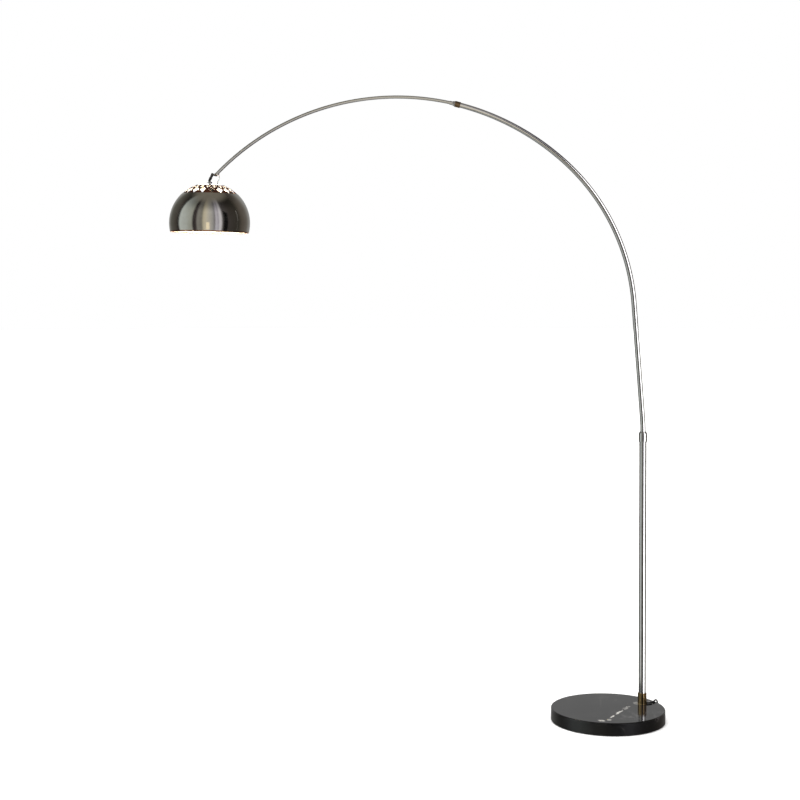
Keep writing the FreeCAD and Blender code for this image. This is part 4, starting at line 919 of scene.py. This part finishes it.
@dataclass
class Arm:
    """The two bent tubes of the arm, in the plane above the post."""

    bend_start: float = 0.888
    socket_depth: float = 0.113
    first_radius: float = 0.600
    first_degrees: float = 4.4
    straight: float = 0.352
    shoulder_radius: float = 0.658
    shoulder_degrees: float = 43.5
    reach_radius: float = 0.773
    lower_degrees: float = 28.5
    upper_degrees: float = 60.1
    insert_degrees: float = 15.0
    thick: BentTube = field(default_factory=lambda: BentTube(
        "lower_arm_tube", "lower_arm", "bright_nickel", 0.016, 0.0015))
    thin: BentTube = field(default_factory=lambda: BentTube(
        "reach_tube", "reach", "satin_nickel", 0.010, 0.001))

    @staticmethod
    def outward(degrees: float) -> Vector:
        """Direction from a bend's centre to the arm at a heading."""
        return Vector((math.cos(math.radians(degrees)), 0.0, math.sin(math.radians(degrees))))

    @staticmethod
    def heading(degrees: float) -> Vector:
        """Direction of travel along the arm, straight up at 0."""
        return Vector((-math.sin(math.radians(degrees)), 0.0, math.cos(math.radians(degrees))))

    def bend(self, centre: Vector, radius: float, start: float, end: float) -> list[tuple[Vector, Vector]]:
        """Places along a bend.

        Args:
            centre: The bend's centre.
            radius: Its radius.
            start: Heading where it starts, in degrees.
            end: Heading where it ends, in degrees.

        Returns:
            Pairs of a point and the direction of travel.
        """
        count = max(2, math.ceil(math.radians(end - start) * radius / self.thick.step))
        headings = [start + (end - start) * k / count for k in range(count + 1)]
        return [(centre + self.outward(turn) * radius, self.heading(turn)) for turn in headings]

    def build(self, wardrobe: Wardrobe, post: Vector) -> list[bpy.types.Object]:
        """Build both tubes.

        Args:
            wardrobe: The materials.
            post: The post's axis, as a point on the floor.

        Returns:
            The thick tube.
        """
        start = post + Vector((0.0, 0.0, self.bend_start))
        foot = start - Vector((0.0, 0.0, self.socket_depth))
        second = self.first_degrees + self.shoulder_degrees
        ring = second + self.lower_degrees
        line = [(foot, self.heading(0.0))]
        line += self.bend(start - self.outward(0.0) * self.first_radius,
                          self.first_radius, 0.0, self.first_degrees)
        straight_end = line[-1][0] + self.heading(self.first_degrees) * self.straight
        line += self.bend(straight_end - self.outward(self.first_degrees) * self.shoulder_radius,
                          self.shoulder_radius, self.first_degrees, second)
        centre = line[-1][0] - self.outward(second) * self.reach_radius
        line += self.bend(centre, self.reach_radius, second, ring)[1:]
        thick = self.thick.build(wardrobe, line)
        self.thin.build(wardrobe, self.bend(centre, self.reach_radius, ring - self.insert_degrees,
                                            ring + self.upper_degrees))
        return [thick]


# ----------------------------------------------------------------------------------------- shade
@dataclass
class Dome:
    """Spun dome with a lined inside and a rolled rim, with a painted reflection of the rim in a tan band
    just above it.
    """

    radius: float = 0.1244
    wall: float = 0.001
    drop_x: float = 0.009
    drop: float = 0.1497
    lean_degrees: float = 1.1
    rim_depth: float = 0.0298
    crown_edge: float = 0.090
    # Height of the painted rim reflection band above the rim.
    band: float = 0.0055
    steps: int = 160
    rings: int = 56

    def frame(self, pivot: Vector) -> Matrix:
        """Where the dome's centre is and how it leans."""
        centre = pivot + Vector((-self.drop_x, 0.0, -self.drop))
        return Matrix.Translation(centre) @ Matrix.Rotation(math.radians(self.lean_degrees), 4, "Y")

    def build(self, wardrobe: Wardrobe, pivot: Vector) -> bpy.types.Object:
        """Build the dome's shell.

        Args:
            wardrobe: The materials.
            pivot: The shade's pivot.

        Returns:
            The new piece.
        """
        def arc(radius: float) -> list[tuple[float, float]]:
            """Profile of one face of the wall, from the rim up."""
            low, high = math.asin(-self.rim_depth / radius), math.asin(self.crown_edge / radius)
            spans = [low + (high - low) * k / self.rings for k in range(self.rings + 1)]
            return [(radius * math.cos(a), radius * math.sin(a)) for a in spans]
        outside, inside = arc(self.radius), arc(self.radius - self.wall)
        shell = lathe("dome", outside + inside[::-1], self.steps, True, self.frame(pivot))
        wardrobe.dress(shell, wardrobe.slot("dark_nickel"))
        shell.data.materials.append(wardrobe.get(LINING))
        shell.data.materials.append(wardrobe.get(RIM_REFLECTION_BAND))
        upright = self.frame(pivot).inverted()
        for face in shell.data.polygons:
            place = upright @ face.center
            if place.length < self.radius - self.wall / 2:
                face.material_index = 1
            # Outer faces just above the rim get the painted rim reflection.
            elif place.z < self.band - self.rim_depth:
                face.material_index = 2
        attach(shell, "shade")
        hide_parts("dome_shell")
        return shell


# ---------------------------------------------------------------------------------------- studio
@dataclass(frozen=True)
class SoftLamp:
    """Soft rectangular light for some of the lamp's pieces."""

    name: str
    lights: str
    place: Point
    aim: Point
    size: tuple[float, float]
    power: float
    colour: Colour = (1.0, 1.0, 1.0)


@dataclass
class Studio:
    """Plain pale floor, soft light in upright panels and the camera."""

    floor_reach: float = 40.0
    eye: Point = (-0.6408, -4.8852, 1.3545)
    pitch_degrees: float = 1.1
    shift_y: float = -0.1105
    lens: float = 71.69
    panels: tuple[tuple[float, Colour], ...] = (
        (-180.0, (0.43, 0.43, 0.43)), (-152.0, (0.40, 0.40, 0.39)), (-134.0, (0.17, 0.17, 0.15)),
        (-104.0, (0.10, 0.09, 0.08)), (-93.0, (0.02, 0.02, 0.02)), (-88.0, (0.80, 0.87, 0.85)),
        (-66.0, (0.66, 0.71, 0.68)), (-46.0, (0.54, 0.56, 0.50)), (-42.0, (0.05, 0.04, 0.04)),
        (-33.0, (0.06, 0.05, 0.05)), (-29.0, (0.40, 0.39, 0.36)), (-16.0, (0.30, 0.29, 0.26)),
        (-11.0, (0.85, 0.78, 0.60)), (-4.0, (1.0, 0.93, 0.76)), (5.0, (0.82, 0.80, 0.74)),
        (14.0, (0.62, 0.61, 0.60)), (18.0, (0.50, 0.49, 0.50)), (21.0, (0.24, 0.23, 0.25)),
        (24.0, (0.80, 0.78, 0.88)), (29.0, (0.86, 0.84, 0.95)), (31.0, (0.40, 0.38, 0.45)),
        (34.0, (1.0, 0.98, 1.08)), (40.0, (1.05, 1.03, 1.1)), (44.0, (0.13, 0.12, 0.12)),
        (70.0, (0.075, 0.066, 0.06)), (98.0, (0.06, 0.055, 0.045)), (112.0, (0.15, 0.13, 0.11)),
        (136.0, (0.22, 0.20, 0.18)), (156.0, (0.40, 0.40, 0.39)), (180.0, (0.43, 0.43, 0.43)))
    dimmed_rise: tuple[float, float] = (0.45, 0.85)
    dimmed_share: float = 0.6
    ceiling_rise: tuple[float, float] = (0.78, 0.98)
    ceiling: Colour = (0.27, 0.25, 0.21)
    sun_strength: float = 4.4
    sun_spread_degrees: float = 70.0
    sun_lean_degrees: tuple[float, float] = (12.0, -8.0)
    card_place: Point = (0.15, -0.98, 0.7)
    card_size: tuple[float, float] = (0.66, 3.4)
    lamps: tuple[SoftLamp, ...] = (
        SoftLamp("warm_lamp", "dome", (-1.13, -3.4, 0.95), (-1.229, 0.044, 1.53), (0.55, 1.2), 1.6,
                 (1.0, 0.80, 0.45)),
        SoftLamp("tube_panel", "tubes", (0.95, -0.75, 1.0), (0.112, 0.044, 1.0), (0.9, 3.2), 26.0),
        SoftLamp("crown_panel", "crown", (-1.229, 2.6, 3.0), (-1.229, 0.044, 1.66), (2.6, 1.6), 90.0))

    def build_world(self) -> None:
        """White all round for the camera, upright soft panels for everything else."""
        world = bpy.data.worlds.new("studio")
        bpy.context.scene.world = world
        world.use_nodes = True
        graph = Graph(world.node_tree)
        direction = graph.signal(graph.add("ShaderNodeTexCoord"), "Generated")
        x, y, z = graph.split(direction)
        turn = graph.math("ARCTAN2", x, -y) / (2 * math.pi) + 0.5
        stops = [(degrees / 360.0 + 0.5, colour) for degrees, colour in self.panels]
        ramp = graph.add("ShaderNodeValToRGB", {"stops": stops}, {0: turn})
        dimmed = graph.ramp(z, *self.dimmed_rise) * self.dimmed_share
        panels = graph.mix(dimmed, graph.signal(ramp), (0.0, 0.0, 0.0))
        panels = graph.mix(graph.ramp(z, *self.ceiling_rise), panels, self.ceiling)
        seen = graph.signal(graph.add("ShaderNodeLightPath"), "Is Camera Ray")
        colour = graph.mix(seen, panels, (1.0, 1.0, 1.0))
        shader = graph.add("ShaderNodeBackground", {}, {"Color": colour, "Strength": 1.0})
        graph.add("ShaderNodeOutputWorld", {}, {"Surface": graph.signal(shader)})

    def build_floor(self) -> bpy.types.Object:
        """Wide pale floor that doesn't show in the lamp's polish.

        Returns:
            The floor.
        """
        mesh = bmesh.new()
        bmesh.ops.create_circle(mesh, cap_ends=True, segments=96, radius=self.floor_reach)
        floor = finished("floor", mesh)
        material, graph = new_material("pale_floor")
        grain = graph.noise(graph.place(), 40.0, 4.0)
        graph.surface(Base_Color=graph.mix(grain, (0.90, 0.90, 0.90), (0.94, 0.94, 0.94)), Roughness=0.9)
        floor.data.materials.append(material)
        floor.visible_glossy = False
        return floor

    def build_card(self) -> bpy.types.Object:
        """Upright dark card that shows only in polish.

        Returns:
            The card.
        """
        half_width, half_height = self.card_size[0] / 2, self.card_size[1] / 2
        mesh = bmesh.new()
        mesh.faces.new([mesh.verts.new((side * half_width, 0.0, rise * half_height))
                        for side, rise in ((-1, -1), (1, -1), (1, 1), (-1, 1))])
        card = finished("dark_card", mesh)
        card.location = self.card_place
        material, graph = new_material("dark_card")
        weave = graph.noise(graph.place(), 60.0, 3.0)
        graph.surface(Base_Color=graph.mix(weave, (0.008, 0.008, 0.008), (0.014, 0.014, 0.014)),
                      Roughness=1.0, Specular_IOR_Level=0.0)
        card.data.materials.append(material)
        card.visible_camera = False
        card.visible_diffuse = False
        card.visible_shadow = False
        return card

    def build_lights(self, pieces: dict[str, list[bpy.types.Object]]) -> None:
        """Wide overhead sun for the floor, and the soft lamps.

        Args:
            pieces: The lamp's pieces under each name that a soft lamp lights.
        """
        data = bpy.data.lights.new("overhead", "SUN")
        data.energy = self.sun_strength
        data.angle = math.radians(self.sun_spread_degrees)
        sun = link(bpy.data.objects.new("overhead", data))
        sun.rotation_euler = (*(math.radians(lean) for lean in self.sun_lean_degrees), 0.0)
        sun.visible_glossy = False
        for lamp in self.lamps:
            light = self.area(lamp)
            lit = bpy.data.collections.new(lamp.name)
            for piece in pieces[lamp.lights]:
                lit.objects.link(piece)
            light.light_linking.receiver_collection = lit

    @staticmethod
    def area(lamp: SoftLamp) -> bpy.types.Object:
        """The light of a soft lamp."""
        data = bpy.data.lights.new(lamp.name, "AREA")
        data.shape = "RECTANGLE"
        data.size, data.size_y = lamp.size
        data.energy = lamp.power
        data.color = lamp.colour
        light = link(bpy.data.objects.new(lamp.name, data))
        light.location = lamp.place
        light.rotation_euler = (Vector(lamp.aim) - Vector(lamp.place)).to_track_quat("-Z", "Y").to_euler()
        return light

    def build_camera(self) -> bpy.types.Object:
        """The camera at its standing place."""
        data = bpy.data.cameras.new("camera")
        data.lens = self.lens
        data.sensor_width = 36.0
        data.shift_y = self.shift_y
        camera = link(bpy.data.objects.new("camera", data))
        camera.location = self.eye
        camera.rotation_euler = (math.radians(90.0 - self.pitch_degrees), 0.0, 0.0)
        bpy.context.scene.camera = camera
        return camera

    def build(self, pieces: dict[str, list[bpy.types.Object]]) -> None:
        """Set up everything that isn't the lamp.

        Args:
            pieces: The lamp's pieces under each name that a soft lamp lights.
        """
        scene = bpy.context.scene
        scene.view_settings.view_transform = "Standard"
        self.build_world()
        self.build_floor()
        self.build_lights(pieces)
        self.build_card()
        self.build_camera()
        log.info("studio ready")


def corners(box: Sequence) -> list[list[float]]:
    """A box as plain lists."""
    return [[float(value) for value in corner] for corner in box]


def main() -> None:
    """Load the frame, dress it and build the flexible and fine pieces."""
    logging.basicConfig(level=logging.INFO, format="%(name)s: %(message)s")
    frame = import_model()
    wardrobe = Wardrobe()
    wardrobe.dress_frame(frame)
    joints = {joint["name"]: joint for joint in frame["joints"]}
    pivot = Vector(joints["shade_tilt"]["pos_m"])
    post_low, post_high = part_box("post_tube")
    middle = (Vector(post_low) + Vector(post_high)) / 2
    bent = Arm().build(wardrobe, Vector((middle.x, middle.y, 0.0)))
    MainsLead().build(wardrobe)
    ShadeLead().build(wardrobe, pivot)
    dome = Dome()
    shell = dome.build(wardrobe, pivot)
    # The crown's webs get painted shade: darker and redder than the dome's metal.
    wardrobe.dress(frame["nodes"]["pierced_crown"], CROWN_PAINTED_SHADE.lined(dome.frame(pivot).translation))
    Studio().build({
        "dome": [shell],
        "tubes": [*(frame["nodes"][name] for name in TUBES), *bent],
        "crown": [frame["nodes"][name] for name in CROWN]})


if __name__ == "__main__":
    main()
